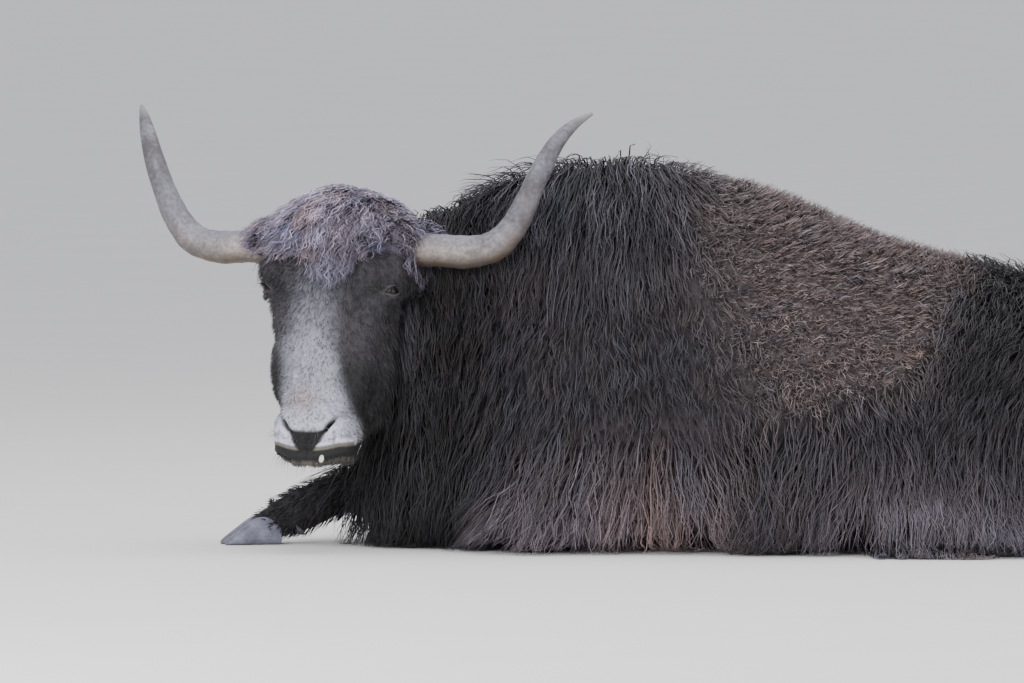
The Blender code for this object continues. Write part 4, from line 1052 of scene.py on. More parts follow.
    def cutters(self) -> list[bpy.types.Object]:
        """The mouth's opening and the two nostrils, as solids to cut with."""
        rings = []
        for side in np.linspace(-0.12, 0.12, 25):
            height = HEAD.mouth_height + HEAD.mouth_rise(side)
            upper = [(side, y, height + HEAD.mouth_slope * y + gap / 2) for y, gap in self.mouth_gap]
            lower = [(side, y, height + HEAD.mouth_slope * y - gap / 2) for y, gap in self.mouth_gap[::-1]]
            rings.append(upper + lower)
        made = [new_object("mouth", [loft(np.array(rings))])]
        for mirror in (1, -1):
            points, faces = ellipsoid((0, 0, 0), self.nostril_radii)
            turn = np.array(Matrix.Rotation(mirror * self.nostril_slant, 3, "Y"))
            centre = np.array(self.nostril) * np.array((mirror, 1, 1))
            made.append(new_object("nostril", [(points @ turn.T + centre, faces)]))
        return made

    def build(self, voxel: float) -> bpy.types.Object:
        """The head with its ears, mouth, nostrils and lids, in world coordinates."""
        shells = [loft(self.rings(self.skull)), loft(self.rings(self.mandible))]
        for x, y, z, *radii in self.bulges:
            for mirror in (1, -1):
                shells.append(ellipsoid((mirror * x, y, z), tuple(r - self.depth for r in radii)))
        shells += [self.ear(1), self.ear(-1)]
        for mirror in (1, -1):
            line = tuple((mirror * x, y, z, w, h) for x, y, z, w, h in self.collar)
            points, faces = tube(line, 8, 24, 0.0)
            shells.append((HEAD.place_in(HEAD.place_out(points, nods=False)), faces))
        head = fuse(new_object("head_skin", shells), 0.0045, 4)
        carve(head, self.cutters())
        fuse(head, voxel, 2)
        self.refine(head.data)
        points = mesh_points(head.data)
        normals = mesh_normals(head.data)
        points = self.shape_lips(points, normals)
        points = self.shape_nose(points, normals)
        for mirror in (1, -1):
            points = self.shape_lids(points, mirror)
        move_points(head.data, HEAD.place_out(points))
        return head

    def shape_lips(self, points: np.ndarray, normals: np.ndarray) -> np.ndarray:
        """Rolls the lips on both sides of the mouth."""
        level = HEAD.mouth_level(points)
        front = ramp(points[:, 1], 0.030, 0.005)
        roll = bell(level, 0.011, 0.006) * 0.0022 + bell(level, -0.012, 0.006) * 0.0028
        crease = bell(level, 0.021, 0.004) * -0.0012 + bell(level, -0.024, 0.005) * -0.0016
        return points + normals * ((roll + crease) * front)[:, None]

    def shape_nose(self, points: np.ndarray, normals: np.ndarray) -> np.ndarray:
        """Raises the wings of the nostrils and sinks the groove between them."""
        x, y, z = np.abs(points[:, 0]), points[:, 1], points[:, 2]
        front = ramp(y, -0.010, -0.035)
        across = (x - self.nostril[0]) * math.cos(self.nostril_slant) - (
            z - self.nostril[2]) * math.sin(self.nostril_slant)
        lengthwise = (x - self.nostril[0]) * math.sin(self.nostril_slant) + (
            z - self.nostril[2]) * math.cos(self.nostril_slant)
        wing = bell(across, 0.0110, 0.0055) + 0.9 * bell(across, -0.0095, 0.0050)
        rise = wing * bell(lengthwise, 0.0, 0.022) * 0.0034
        groove = bell(x, 0.0, 0.0030) * ramp(z, -0.365, -0.385) * -0.0030
        return points + normals * ((rise + groove) * front)[:, None]

    def refine(self, mesh: bpy.types.Mesh) -> None:
        """Cuts the faces round the eyes finer, for the lids."""
        shape = bmesh.new()
        shape.from_mesh(mesh)
        near = []
        for edge in shape.edges:
            middle = (edge.verts[0].co + edge.verts[1].co) / 2
            away = Vector((abs(middle.x), middle.y, middle.z)) - Vector(HEAD.eye)
            if away.length < HEAD.eye_radius + 0.010 and away.dot(Vector(HEAD.eye_looks)) > 0:
                near.append(edge)
        bmesh.ops.subdivide_edges(shape, edges=near, cuts=1, use_grid_fill=True)
        shape.to_mesh(mesh)
        shape.free()

    def shape_lids(self, points: np.ndarray, mirror: int) -> np.ndarray:
        """Draws the skin round an eyeball and leaves the almond between the lids open."""
        flip = np.array((mirror, 1, 1))
        centre = np.array(HEAD.eye) * flip
        looks, across, up = (axis * flip for axis in HEAD.eye_axes())
        away = points - centre
        distance = np.linalg.norm(away, axis=1)
        share = HEAD.eye_share(points)
        height = away @ up
        near = (distance < HEAD.eye_radius + 0.016) & (away @ looks > 0)
        rim = bell(share, 1.28, 0.22) * 0.0022 * ramp(share, 0.95, 1.1)
        fold = bell(height, 0.0185, 0.0022) * ramp(share, 1.6, 2.0) * -0.0022
        pouch = bell(height, -0.0165, 0.0020) * ramp(share, 1.6, 2.0) * -0.0014
        least = HEAD.eye_radius + np.where(share < 1, -0.004, 0.0012 + rim + fold + pouch)
        wanted = np.where(share < 1, np.minimum(distance, least), np.maximum(distance, least))
        close = ramp(distance, HEAD.eye_radius + 0.016, HEAD.eye_radius + 0.006)
        reach = distance + (wanted - distance) * np.where(share < 1, 1, np.maximum(close, 0.6))
        reach = np.where(near, reach, distance)
        return centre + unit(away) * reach[:, None]


@dataclass
class Skin:
    """The one skin of the animal, which all flesh nodes give way to."""

    head: Head = field(default_factory=Head)
    trunk: Trunk = field(default_factory=Trunk)
    limbs: Limbs = field(default_factory=Limbs)
    head_voxel: float = 0.0029
    body_voxel: float = 0.0140

    def build(self) -> bpy.types.Object:
        """Builds and joins the head and the body and colours them."""
        head = self.head.build(self.head_voxel)
        body = fuse(new_object("body_skin", self.trunk.shells() + self.limbs.shells()), self.body_voxel, 5)
        points = mesh_points(body.data)
        points[:, 2] = np.maximum(points[:, 2], 0.002)
        move_points(body.data, points)
        head_mesh, body_mesh = head.data, body.data
        points = np.vstack([mesh_points(head_mesh), mesh_points(body_mesh)])
        count = len(head_mesh.vertices)
        faces = [list(face.vertices) for face in head_mesh.polygons]
        faces += [[corner + count for corner in face.vertices] for face in body_mesh.polygons]
        mesh = bpy.data.meshes.new("skin")
        mesh.from_pydata(points.tolist(), [], faces)
        for piece in (head, body):
            bpy.data.objects.remove(piece)
        skin = bpy.data.objects.new("skin", mesh)
        bpy.context.scene.collection.objects.link(skin)
        self.unwrap(skin)
        add_layer(mesh, "of_head", (np.arange(len(points)) < count).astype(float))
        local = HEAD.place_in(points)
        face_share = COAT_COLOURS.face_share(local)
        colour = COAT_COLOURS.colour(points)
        # Painted shade: the body's skin, seen between the strands, is darker than the coat for the shade deep inside
        # it.
        colour[face_share < 0.5] *= 0.70
        add_layer(mesh, "coat", colour)
        lips = bell(HEAD.mouth_level(local), -0.006, 0.014) * ramp(local[:, 1], 0.04, 0.0)
        bare = np.clip(COAT_COLOURS.nose_share(local) + 0.7 * lips, 0, 1) * face_share
        add_layer(mesh, "bare", bare)
        return dress(skin, HIDE, Part.FLESH.value)

    @staticmethod
    def unwrap(skin: bpy.types.Object) -> None:
        """Unwraps the skin by its own shape into the map that the coat's patches sit on."""
        skin.data.uv_layers.new(name="OFBake")
        bpy.context.view_layer.objects.active = skin
        skin.select_set(True)
        bpy.ops.object.mode_set(mode="EDIT")
        bpy.ops.mesh.select_all(action="SELECT")
        bpy.ops.uv.smart_project(angle_limit=math.radians(70), island_margin=0.002)
        bpy.ops.object.mode_set(mode="OBJECT")
        skin.select_set(False)


@dataclass
class Eyes:
    """The two eyeballs."""

    pupil: tuple[float, float] = (0.44, 0.20)

    def build(self) -> None:
        """Builds both eyes with the layers that their finish reads."""
        for mirror, node in zip((1, -1), Part.EYES.value):
            flip = np.array((mirror, 1, 1))
            looks, across, up = (axis * flip for axis in HEAD.eye_axes())
            turns = np.linspace(0.02, math.pi - 0.02, 40)[:, None]
            around = np.linspace(0, 2 * math.pi, 48, endpoint=False)[None]
            bulge = 1 + 0.045 * ramp(turns, 0.65, 0.35)
            side, height = np.sin(turns) * np.cos(around), np.sin(turns) * np.sin(around)
            ahead = np.broadcast_to(np.cos(turns) * bulge, side.shape)
            spoke = across * side[..., None] + up * height[..., None] + looks * ahead[..., None]
            points, faces = loft(spoke * HEAD.eye_radius + np.array(HEAD.eye) * flip)
            eye = new_object(f"eyeball_{node[4:]}", [(HEAD.place_out(points), faces)])
            ends = np.array((0.0, math.pi))
            angle = np.concatenate([np.broadcast_to(turns, side.shape).ravel(), ends])
            slot = np.hypot(side / self.pupil[0], height / self.pupil[1]) + 9 * (ahead < 0)
            add_layer(eye.data, "away", angle)
            add_layer(eye.data, "slot", np.concatenate([slot.ravel(), (0.0, 9.0)]))
            dress(eye, EyeFinish("wet eye", "eye", 0.25), (node,))


@dataclass
class Tooth:
    """The one lower incisor that shows over the lip, in the head's frame."""

    place: tuple[float, ...] = (0.031, -0.0365, -0.4255)
    radii: tuple[float, ...] = (0.0048, 0.0030, 0.0080)

    def build(self) -> None:
        """Builds the tooth, narrower at its root."""
        points, faces = ellipsoid((0, 0, 0), (1, 1, 1))
        points[:, 0] *= 1 - 0.25 * points[:, 2]
        points = points * np.array(self.radii) + np.array(self.place)
        tooth = new_object("tooth_crown", [(HEAD.place_out(points), faces)])
        finish = PlainFinish("worn tooth", "tooth", 0.22, (0.78, 0.76, 0.70), (0.60, 0.56, 0.46), 90.0)
        dress(tooth, finish, ("incisor",))


@dataclass
class Horns:
    """The two horns, each swept out, up and back."""

    stations: Table = (
        (0.070, 0.010, 0.000, 0.0300),
        (0.130, 0.008, -0.002, 0.0310),
        (0.190, 0.008, -0.003, 0.0305),
        (0.250, 0.010, -0.005, 0.0300),
        (0.300, 0.014, 0.008, 0.0280),
        (0.336, 0.018, 0.045, 0.0250),
        (0.362, 0.020, 0.095, 0.0215),
        (0.386, 0.028, 0.150, 0.0190),
        (0.408, 0.048, 0.198, 0.0150),
        (0.430, 0.080, 0.230, 0.0095),
        (0.450, 0.115, 0.248, 0.0035),
    )
    rings: int = 110
    sides: int = 36
    ridge: float = 0.0007

    def build(self) -> None:
        """Builds both horns."""
        rows = resample(self.stations, self.rings)
        share = np.linspace(0, 1, self.rings)
        for mirror, node in zip((1, -1), Part.HORNS.value):
            centres = rows[:, :3] * np.array((mirror, 1, 1))
            along = along_line(centres)
            side = unit(np.cross(along, np.array((0.0, 1.0, 0.0))))
            back = unit(np.cross(side, along))
            angle = np.linspace(0, 2 * math.pi, self.sides, endpoint=False)
            wave = np.sin(share * 120) * 0.6 + np.sin(share * 47 + 1) * 0.8
            growth = wave * self.ridge * ramp(share, 0.75, 0.35) * ramp(share, 0.0, 0.08)
            radius = (rows[:, 3] + growth)[:, None, None]
            spoke = side[:, None] * np.cos(angle)[None, :, None] + back[:, None] * np.sin(angle)[None, :, None]
            rings = centres[:, None] + spoke * radius
            points, faces = loft(rings)
            horn = new_object(f"hornsheath_{node[5:]}", [(HEAD.place_out(points, nods=False), faces)])
            level = np.concatenate([(spoke[..., 2]).ravel(), (0.0, 0.0)])
            place = np.concatenate([np.repeat(share, self.sides), (0.0, 1.0)])
            add_layer(horn.data, "level", level)
            add_layer(horn.data, "along", place)
            dress(horn, HornFinish("weathered horn", "horn", 0.5), (node,))


@dataclass
class Claws:
    """Cloven hooves and the small dewclaws above them."""

    pairs: tuple[tuple[str, float, float, float], ...] = (
        ("fore_right", -0.7685, -0.0270, 196),
        ("fore_left", -0.1645, -0.1700, 8),
        ("hind_left", 0.4495, -0.3800, 180),
        ("hind_right", 0.4495, 0.3800, 180),
    )
    length: float = 0.098
    half_width: float = 0.0190
    height: float = 0.054
    cleft: float = 0.003
    square: float = 2.6
    lean: float = 0.22
    toe_in: float = 0.25
    shape: Table = (
        (-0.05, 0.75, 0.62),
        (0.10, 0.95, 0.88),
        (0.36, 1.00, 0.94),
        (0.68, 0.96, 0.57),
        (0.92, 0.70, 0.25),
        (1.00, 0.36, 0.12),
    )
    dewclaw_root: tuple[float, ...] = (-0.034, 0.022, 0.030)
    dewclaw_tip: tuple[float, ...] = (-0.048, 0.031, 0.021)
    dewclaw_shape: Table = ((0.0, 0.0085), (0.6, 0.0072), (1.0, 0.0034))

    def build(self) -> None:
        """Builds two claws and two dewclaws on each foot."""
        for name, x, y, heading in self.pairs:
            turn = np.array(Matrix.Translation((x, y, 0)) @ Matrix.Rotation(math.radians(heading), 4, "Z"))
            for label, side in (("a", 1), ("b", -1)):
                # The hind hooves take the darker finish as painted shade.
                horny = HOOF if name.startswith("fore") else HOOF_IN_PAINTED_SHADE
                made = (("hoof", self.claw(side), horny), ("dewclaw", self.dewclaw(side), HOOF_IN_PAINTED_SHADE))
                for kind, rings, finish in made:
                    points, faces = loft(rings)
                    placed = points @ turn[:3, :3].T + turn[:3, 3]
                    claw = new_object(f"{kind}_shell_{name}_{label}", [(placed, faces)])
                    dress(claw, finish, (f"{kind}_{name}_{label}",))

    def claw(self, side: int) -> np.ndarray:
        """Rings of one claw, from heel to toe, with a flat sole."""
        rows = resample(self.shape, 22)
        across, up = oval(np.linspace(0, 2 * math.pi, 28, endpoint=False)[None], self.square)
        rise = 0.5 + 0.5 * up
        middle = side * (self.cleft / 2 + self.half_width * (1 - self.toe_in * rows[:, 0:1]))
        wide = middle + across * self.half_width * rows[:, 1:2] * (1 - self.lean * rise)
        forward = np.broadcast_to(rows[:, 0:1] * self.length, wide.shape)
        return np.stack([forward, wide, self.height * rows[:, 2:3] * rise], -1)

    def dewclaw(self, side: int) -> np.ndarray:
        """Rings of one dewclaw."""
        rows = resample(self.dewclaw_shape, 9)
        flip = np.array((1, side, 1))
        root, tip = np.array(self.dewclaw_root) * flip, np.array(self.dewclaw_tip) * flip
        angle = np.linspace(0, 2 * math.pi, 14, endpoint=False)
        ring = np.stack([np.zeros(14), np.cos(angle), np.sin(angle)], 1)
        centre = root + (tip - root) * rows[:, 0:1]
        return centre[:, None] + ring[None] * rows[:, 1][:, None, None]


@dataclass
class Roots:
    """Places on the skin where strands grow."""

    points: np.ndarray
    normals: np.ndarray
    patch: np.ndarray

    def keep(self, chosen: np.ndarray) -> "Roots":
        """Only the chosen roots."""
        return Roots(self.points[chosen], self.normals[chosen], self.patch[chosen])


class Surface:
    """The skin, and what lies on it, as a surface to grow on and to lie over."""

    def __init__(self, skin: bpy.types.Object, others: list[bpy.types.Object]) -> None:
        """Reads the skin's triangles and its bake map, and the shapes that hair goes over."""
        mesh = skin.data
        mesh.calc_loop_triangles()
        count = len(mesh.loop_triangles)
        corners, loops = np.empty(count * 3, int), np.empty(count * 3, int)
        mesh.loop_triangles.foreach_get("vertices", corners)
        mesh.loop_triangles.foreach_get("loops", loops)
        uv = np.empty(len(mesh.loops) * 2)
        mesh.uv_layers["OFBake"].data.foreach_get("uv", uv)
        self.corners = corners.reshape(-1, 3)
        self.points, self.normals = mesh_points(mesh), mesh_normals(mesh)
        self.patch = uv.reshape(-1, 2)[loops.reshape(-1, 3)]
        of_head = np.empty(len(mesh.vertices))
        mesh.attributes["of_head"].data.foreach_get("value", of_head)
        self.of_head = of_head[self.corners[:, 0]] > 0.5
        self.tree = BVHTree.FromObject(skin, bpy.context.evaluated_depsgraph_get())
        self.others = [BVHTree.FromObject(piece, bpy.context.evaluated_depsgraph_get()) for piece in others]

    def scatter(self, density, rng: np.random.Generator, count: int, head: bool) -> Roots:
        """Spreads roots over the skin.

        Args:
            density: A function of points and normals that gives the wanted density.
            rng: Source of random numbers.
            count: Number of roots.
            head: Whether they grow on the head and not on the body.

        Returns:
            The roots.
        """
        near, middle, far = (self.points[self.corners[:, k]] for k in range(3))
        area = np.linalg.norm(np.cross(middle - near, far - near), axis=1) / 2
        centre = (near + middle + far) / 3
        chosen = np.flatnonzero(self.of_head == head)
        wanted = density(centre[chosen], self.normals[self.corners[chosen]].mean(1))
        weight = np.zeros(len(area))
        weight[chosen] = area[chosen] * wanted
        drawn = rng.choice(len(area), count, p=weight / weight.sum())
        first, second = rng.random((2, count))
        root = np.sqrt(first)
        shares = np.stack([1 - root, root * (1 - second), root * second], 1)[:, :, None]
        picked = self.corners[drawn]
        return Roots(
            (self.points[picked] * shares).sum(1),
            unit((self.normals[picked] * shares).sum(1)),
            (self.patch[drawn] * shares).sum(1),
        )

    def lift(self, points: np.ndarray, heights: np.ndarray) -> tuple[np.ndarray, np.ndarray]:
        """Moves points out until each stands at least its height off the surface.

        Args:
            points: Places near the surface.
            heights: Least height of each.

        Returns:
            The moved points and the outward direction at each.
        """
        made, outward = points.copy(), np.empty_like(points)
        for index, (point, height) in enumerate(zip(points.tolist(), heights.tolist())):
            place = Vector(point)
            near, normal, _, _ = self.tree.find_nearest(place)
            short = height - (place - near).dot(normal)
            if short > 0:
                place = place + normal * short
            for other in self.others:
                near, turned, _, distance = other.find_nearest(place, 0.06)
                if near is not None:
                    short = 0.5 * height + 0.001 - (place - near).dot(turned)
                    if short > 0:
                        place = place + turned * short
            made[index], outward[index] = place, normal
        return made, outward


@dataclass(frozen=True)
class Lay:
    """How one kind of hair grows."""

    name: str
    count: int
    segments: int
    width: float
    lift: float
    rise: float
    sag: float
    clump: float
    clump_size: float
    wave: float
    wave_length: float
    finish: HairFinish
    stray: float = 0.22
    tone: float = 0.25
    tint: float = 0.05
    slot: str = "coat"
    thickness: float = 0.55
    taper: tuple[float, ...] = (0.75, 1.0, 0.95, 0.80, 0.55, 0.28)


class Coat:
    """One region of the coat. A subclass says where it grows, how long it is and how it lies."""

    lay: Lay
    on_head: bool = False
    floor: float = 0.004
    widest: tuple[float, float] = (0.440, 0.482)
    rear: tuple[float, float] = (0.960, 1.035)

    def __init__(self, surface: Surface, seed: int) -> None:
        """Keeps the surface and a seeded source of random numbers."""
        self.surface = surface
        self.rng = np.random.default_rng(SEED + seed)

    def density(self, points: np.ndarray, normals: np.ndarray) -> np.ndarray:
        """Wanted density of roots."""
        raise NotImplementedError

    def length(self, points: np.ndarray) -> np.ndarray:
        """Length of the hair at its roots."""
        raise NotImplementedError

    def flow(self, points: np.ndarray, normals: np.ndarray) -> np.ndarray:
        """Direction in which the hair lies at its roots."""
        raise NotImplementedError

    def lift_at(self, points: np.ndarray) -> np.ndarray:
        """How far the tips stand off the skin."""
        return np.full(len(points), self.lay.lift)

    def rise_at(self, roots: Roots) -> np.ndarray:
        """How steeply the hair leaves the skin."""
        return np.full(len(roots.points), self.lay.rise)

    def sag_at(self, roots: Roots) -> np.ndarray:
        """How fast the hair bends down as it grows."""
        return np.full(len(roots.points), self.lay.sag)

    def hold_in(self, points: np.ndarray) -> np.ndarray:
        """Keeps points above the floor and softly within the width and length of the coat."""
        made = points.copy()
        made[:, 2] = np.maximum(made[:, 2], self.floor)
        made[:, 1] = np.sign(made[:, 1]) * soft_limit(np.abs(made[:, 1]), *self.widest)
        made[:, 0] = soft_limit(made[:, 0], *self.rear)
        return made

    def walk(self, roots: Roots) -> tuple[np.ndarray, np.ndarray, np.ndarray]:
        """Grows the middle lines.

        Args:
            roots: Where the strands start.

        Returns:
            The points of each line, the outward directions there, and the lengths.
        """
        lay, count = self.lay, len(roots.points)
        flow = self.flow(roots.points, roots.normals)
        flow = unit(flow - roots.normals * (flow * roots.normals).sum(1, keepdims=True))
        turned = np.cross(roots.normals, flow)
        flow = unit(flow + turned * self.rng.normal(0, lay.stray, (count, 1)))
        length = self.length(roots.points) * self.rng.uniform(0.72, 1.15, count)
        rise = self.rise_at(roots)[:, None] * self.rng.uniform(0.5, 1.3, (count, 1))
        lift = self.lift_at(roots.points) * self.rng.uniform(0.35, 1.25, count)
        sag = self.sag_at(roots)[:, None]
        direction = unit(flow + roots.normals * rise)
        point, normal = roots.points - roots.normals * 0.003, roots.normals
        points, outward = [point], [normal]
        for step in range(1, lay.segments + 1):
            share = step / lay.segments
            inward = np.minimum((direction * normal).sum(1, keepdims=True), 0)
            direction = unit(direction - normal * inward)
            moved = point + direction * (length / lay.segments)[:, None]
            moved, normal = self.surface.lift(moved, lift * share**0.7)
            moved = self.hold_in(moved)
            direction = unit(unit(moved - point) * (1 - sag) - UP * sag)
            point = moved
            points.append(point)
            outward.append(normal)
        return np.stack(points, 1), np.stack(outward, 1), length

    def tangle(self, points: np.ndarray, outward: np.ndarray, length: np.ndarray) -> np.ndarray:
        """Draws the strands into clumps and gives them their waves."""
        lay, (count, rows, _) = self.lay, points.shape
        spots = max(int(count / lay.clump_size), 1)
        leaders = self.rng.permutation(count)[:spots]
        tree = KDTree(spots)
        for index, leader in enumerate(leaders.tolist()):
            tree.insert(points[leader, 0].tolist(), index)
        tree.balance()
        led = leaders[[tree.find(root)[1] for root in points[:, 0].tolist()]]
        share = np.linspace(0, 1, rows)[None, :, None]
        pull = lay.clump * share**1.3 * self.rng.uniform(0.5, 1.2, (count, 1, 1))
        offset = points[led] - points
        far = np.linalg.norm(offset, axis=2, keepdims=True)
        offset *= np.minimum(1, 0.05 / np.maximum(far, 1e-6))
        made = points + offset * np.clip(pull, 0, 0.95)
        along = np.gradient(made, axis=1)
        side = unit(np.cross(along, outward))
        phase = (self.rng.random(count)[led] * 6.28 + self.rng.normal(0, 0.5, count))[:, None]
        beat = 2 * math.pi * share[..., 0] * (length / lay.wave_length)[:, None]
        grown = lay.wave * share[..., 0] ** 0.6 * self.rng.uniform(0.3, 1.5, (count, 1))
        swing = grown * (np.sin(beat + phase) + 0.5 * np.sin(2.3 * beat + phase * 3.1))
        bob = 0.6 * grown * np.cos(beat * 0.8 + phase * 1.7)
        made = made + side * swing[..., None] + outward * np.abs(bob)[..., None]
        made[:, :, 2] = np.maximum(made[:, :, 2], self.floor - 0.002)
        self.led = led
        return made

    def build(self) -> bpy.types.Object:
        """Builds the coat piece."""
        roots = self.surface.scatter(self.density, self.rng, self.lay.count, self.on_head)
        points, outward, length = self.walk(roots)
        points = self.tangle(points, outward, length)
        piece = self.mesh(points, outward, roots)
        material = bpy.data.materials.get(self.lay.finish.name) or self.lay.finish.make()
        piece.data.materials.append(material)
        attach(piece, "root")
        LOG.info("%s: %d strands, %d faces", piece.name, len(points), len(piece.data.polygons))
        return piece

    def mesh(self, points: np.ndarray, outward: np.ndarray, roots: Roots) -> bpy.types.Object:
        """Closed, three-sided strands round the middle lines, as one mesh."""
        lay, (count, rows, _) = self.lay, points.shape
        rings = rows - 1
        along = np.gradient(points, axis=1)
        side = unit(np.cross(along, outward))
        top = unit(np.cross(side, along))
        taper = np.interp(np.linspace(0, 1, rings + 1)[:-1], np.linspace(0, 1, len(lay.taper)), lay.taper)
        half = 0.5 * lay.width * self.rng.uniform(0.7, 1.3, (count, 1)) * taper
        half = half[..., None]
        middle, side, top = points[:, :-1], side[:, :-1], top[:, :-1]
        corners = [middle + side * half, middle + top * half * 2 * lay.thickness, middle - side * half]
        bodies = np.stack(corners, 2).reshape(count, rings * 3, 3)
        vertices = np.concatenate([bodies, points[:, -1:]], 1)
        vertices[..., 2] = np.maximum(vertices[..., 2], 0.001)
        each = rings * 3 + 1
        pattern = [[0, 1, 2]]
        for ring in range(rings - 1):
            for k in range(3):
                a, b = ring * 3 + k, ring * 3 + (k + 1) % 3
                pattern += [[a, a + 3, b + 3], [a, b + 3, b]]
        end = (rings - 1) * 3
        pattern += [[end + k, each - 1, end + (k + 1) % 3] for k in range(3)]
        faces = np.array(pattern)[None] + np.arange(count)[:, None, None] * each
        mesh = triangle_mesh(lay.name, vertices.reshape(-1, 3), faces.reshape(-1, 3))
        share = np.append(np.repeat(np.arange(rings) / rings, 3), 1.0)
        add_layer(mesh, "along", np.tile(share, count))
        tone = self.rng.lognormal(-0.08, lay.tone, count) * self.rng.lognormal(0, 0.5 * lay.tone, count)[self.led]
        add_layer(mesh, "tone", np.repeat(np.clip(tone, 0.25, 3.2), each))
        add_layer(mesh, "coat", np.repeat(self.colour(roots.points), each, 0))
        across = np.append(np.tile((0.0, 0.0015, 0.003), rings), 0.0015)
        patch = np.stack([across, share * 0.003], 1)[None] + roots.patch[:, None]
        layer = mesh.uv_layers.new(name="OFBake")
        layer.data.foreach_set("uv", patch.reshape(-1, 2)[faces.ravel()].ravel())
        piece = bpy.data.objects.new(lay.name, mesh)
        bpy.context.scene.collection.objects.link(piece)
        return piece

    def colour(self, points: np.ndarray) -> np.ndarray:
        """Colour of the strands, from the coat's colours at their roots, painted light and shade included, and a warm
        or cool tint.
        """
        count = len(points)
        warm = self.rng.normal(0, self.lay.tint, count)[self.led] + self.rng.normal(0, 0.4 * self.lay.tint, count)
        return self.root_colours(points) * (1 + warm[:, None] * np.array((1.0, 0.1, -0.8)))

    def root_colours(self, points: np.ndarray) -> np.ndarray:
        """Colour of the coat at the roots."""
        return COAT_COLOURS.colour(points)


def triangle_mesh(name: str, vertices: np.ndarray, faces: np.ndarray) -> bpy.types.Mesh:
    """A smooth-shaded mesh from arrays of points and triangles."""
    mesh = bpy.data.meshes.new(name)
    mesh.vertices.add(len(vertices))
    mesh.vertices.foreach_set("co", vertices.ravel())
    mesh.loops.add(faces.size)
    mesh.loops.foreach_set("vertex_index", faces.ravel())
    mesh.polygons.add(len(faces))
    mesh.polygons.foreach_set("loop_start", np.arange(0, faces.size, 3))
    mesh.polygons.foreach_set("use_smooth", np.ones(len(faces), bool))
    mesh.update(calc_edges=True)
    return mesh


def soft_limit(values: np.ndarray, start: float, end: float) -> np.ndarray:
    """Values that are bent back past a start so that they never pass an end."""
    room = end - start
    return np.where(values > start, start + room * np.tanh((values - start) / room), values)


CREST_LEAN: Table = ((-0.50, 0.5), (-0.36, 0.4), (-0.26, -0.15), (-0.18, -0.2), (-0.08, 0.25), (-0.02, 0.9),
                     (0.80, 1.2))
FLANK_LEAN: Table = ((-0.50, 0.1), (-0.30, -0.2), (-0.10, 0.1), (0.10, 0.6), (0.40, 0.5), (0.46, -0.6),
                     (0.62, -0.9), (0.80, -0.2))
SKIRT_LEAN: Table = ((-0.45, -0.1), (-0.35, -0.60), (-0.20, -0.35), (-0.08, -0.05), (0.04, 0.35), (0.11, 0.45),
                     (0.15, -0.50), (0.26, -0.40), (0.36, -0.10), (0.60, 0.10), (0.80, 0.1))


def lean_of(points: np.ndarray) -> np.ndarray:
    """How far hair of the trunk leans to the rump as it falls, by place."""
    x, z = points[:, 0], points[:, 2]
    crest = interpolate(x, CREST_LEAN)
    flank = interpolate(x, FLANK_LEAN)
    skirt = interpolate(x, SKIRT_LEAN)
    high = ramp(z, 0.50, 0.62)
    low = ramp(z, 0.30, 0.22)
    return crest * high + (1 - high) * (skirt * low + flank * (1 - low))


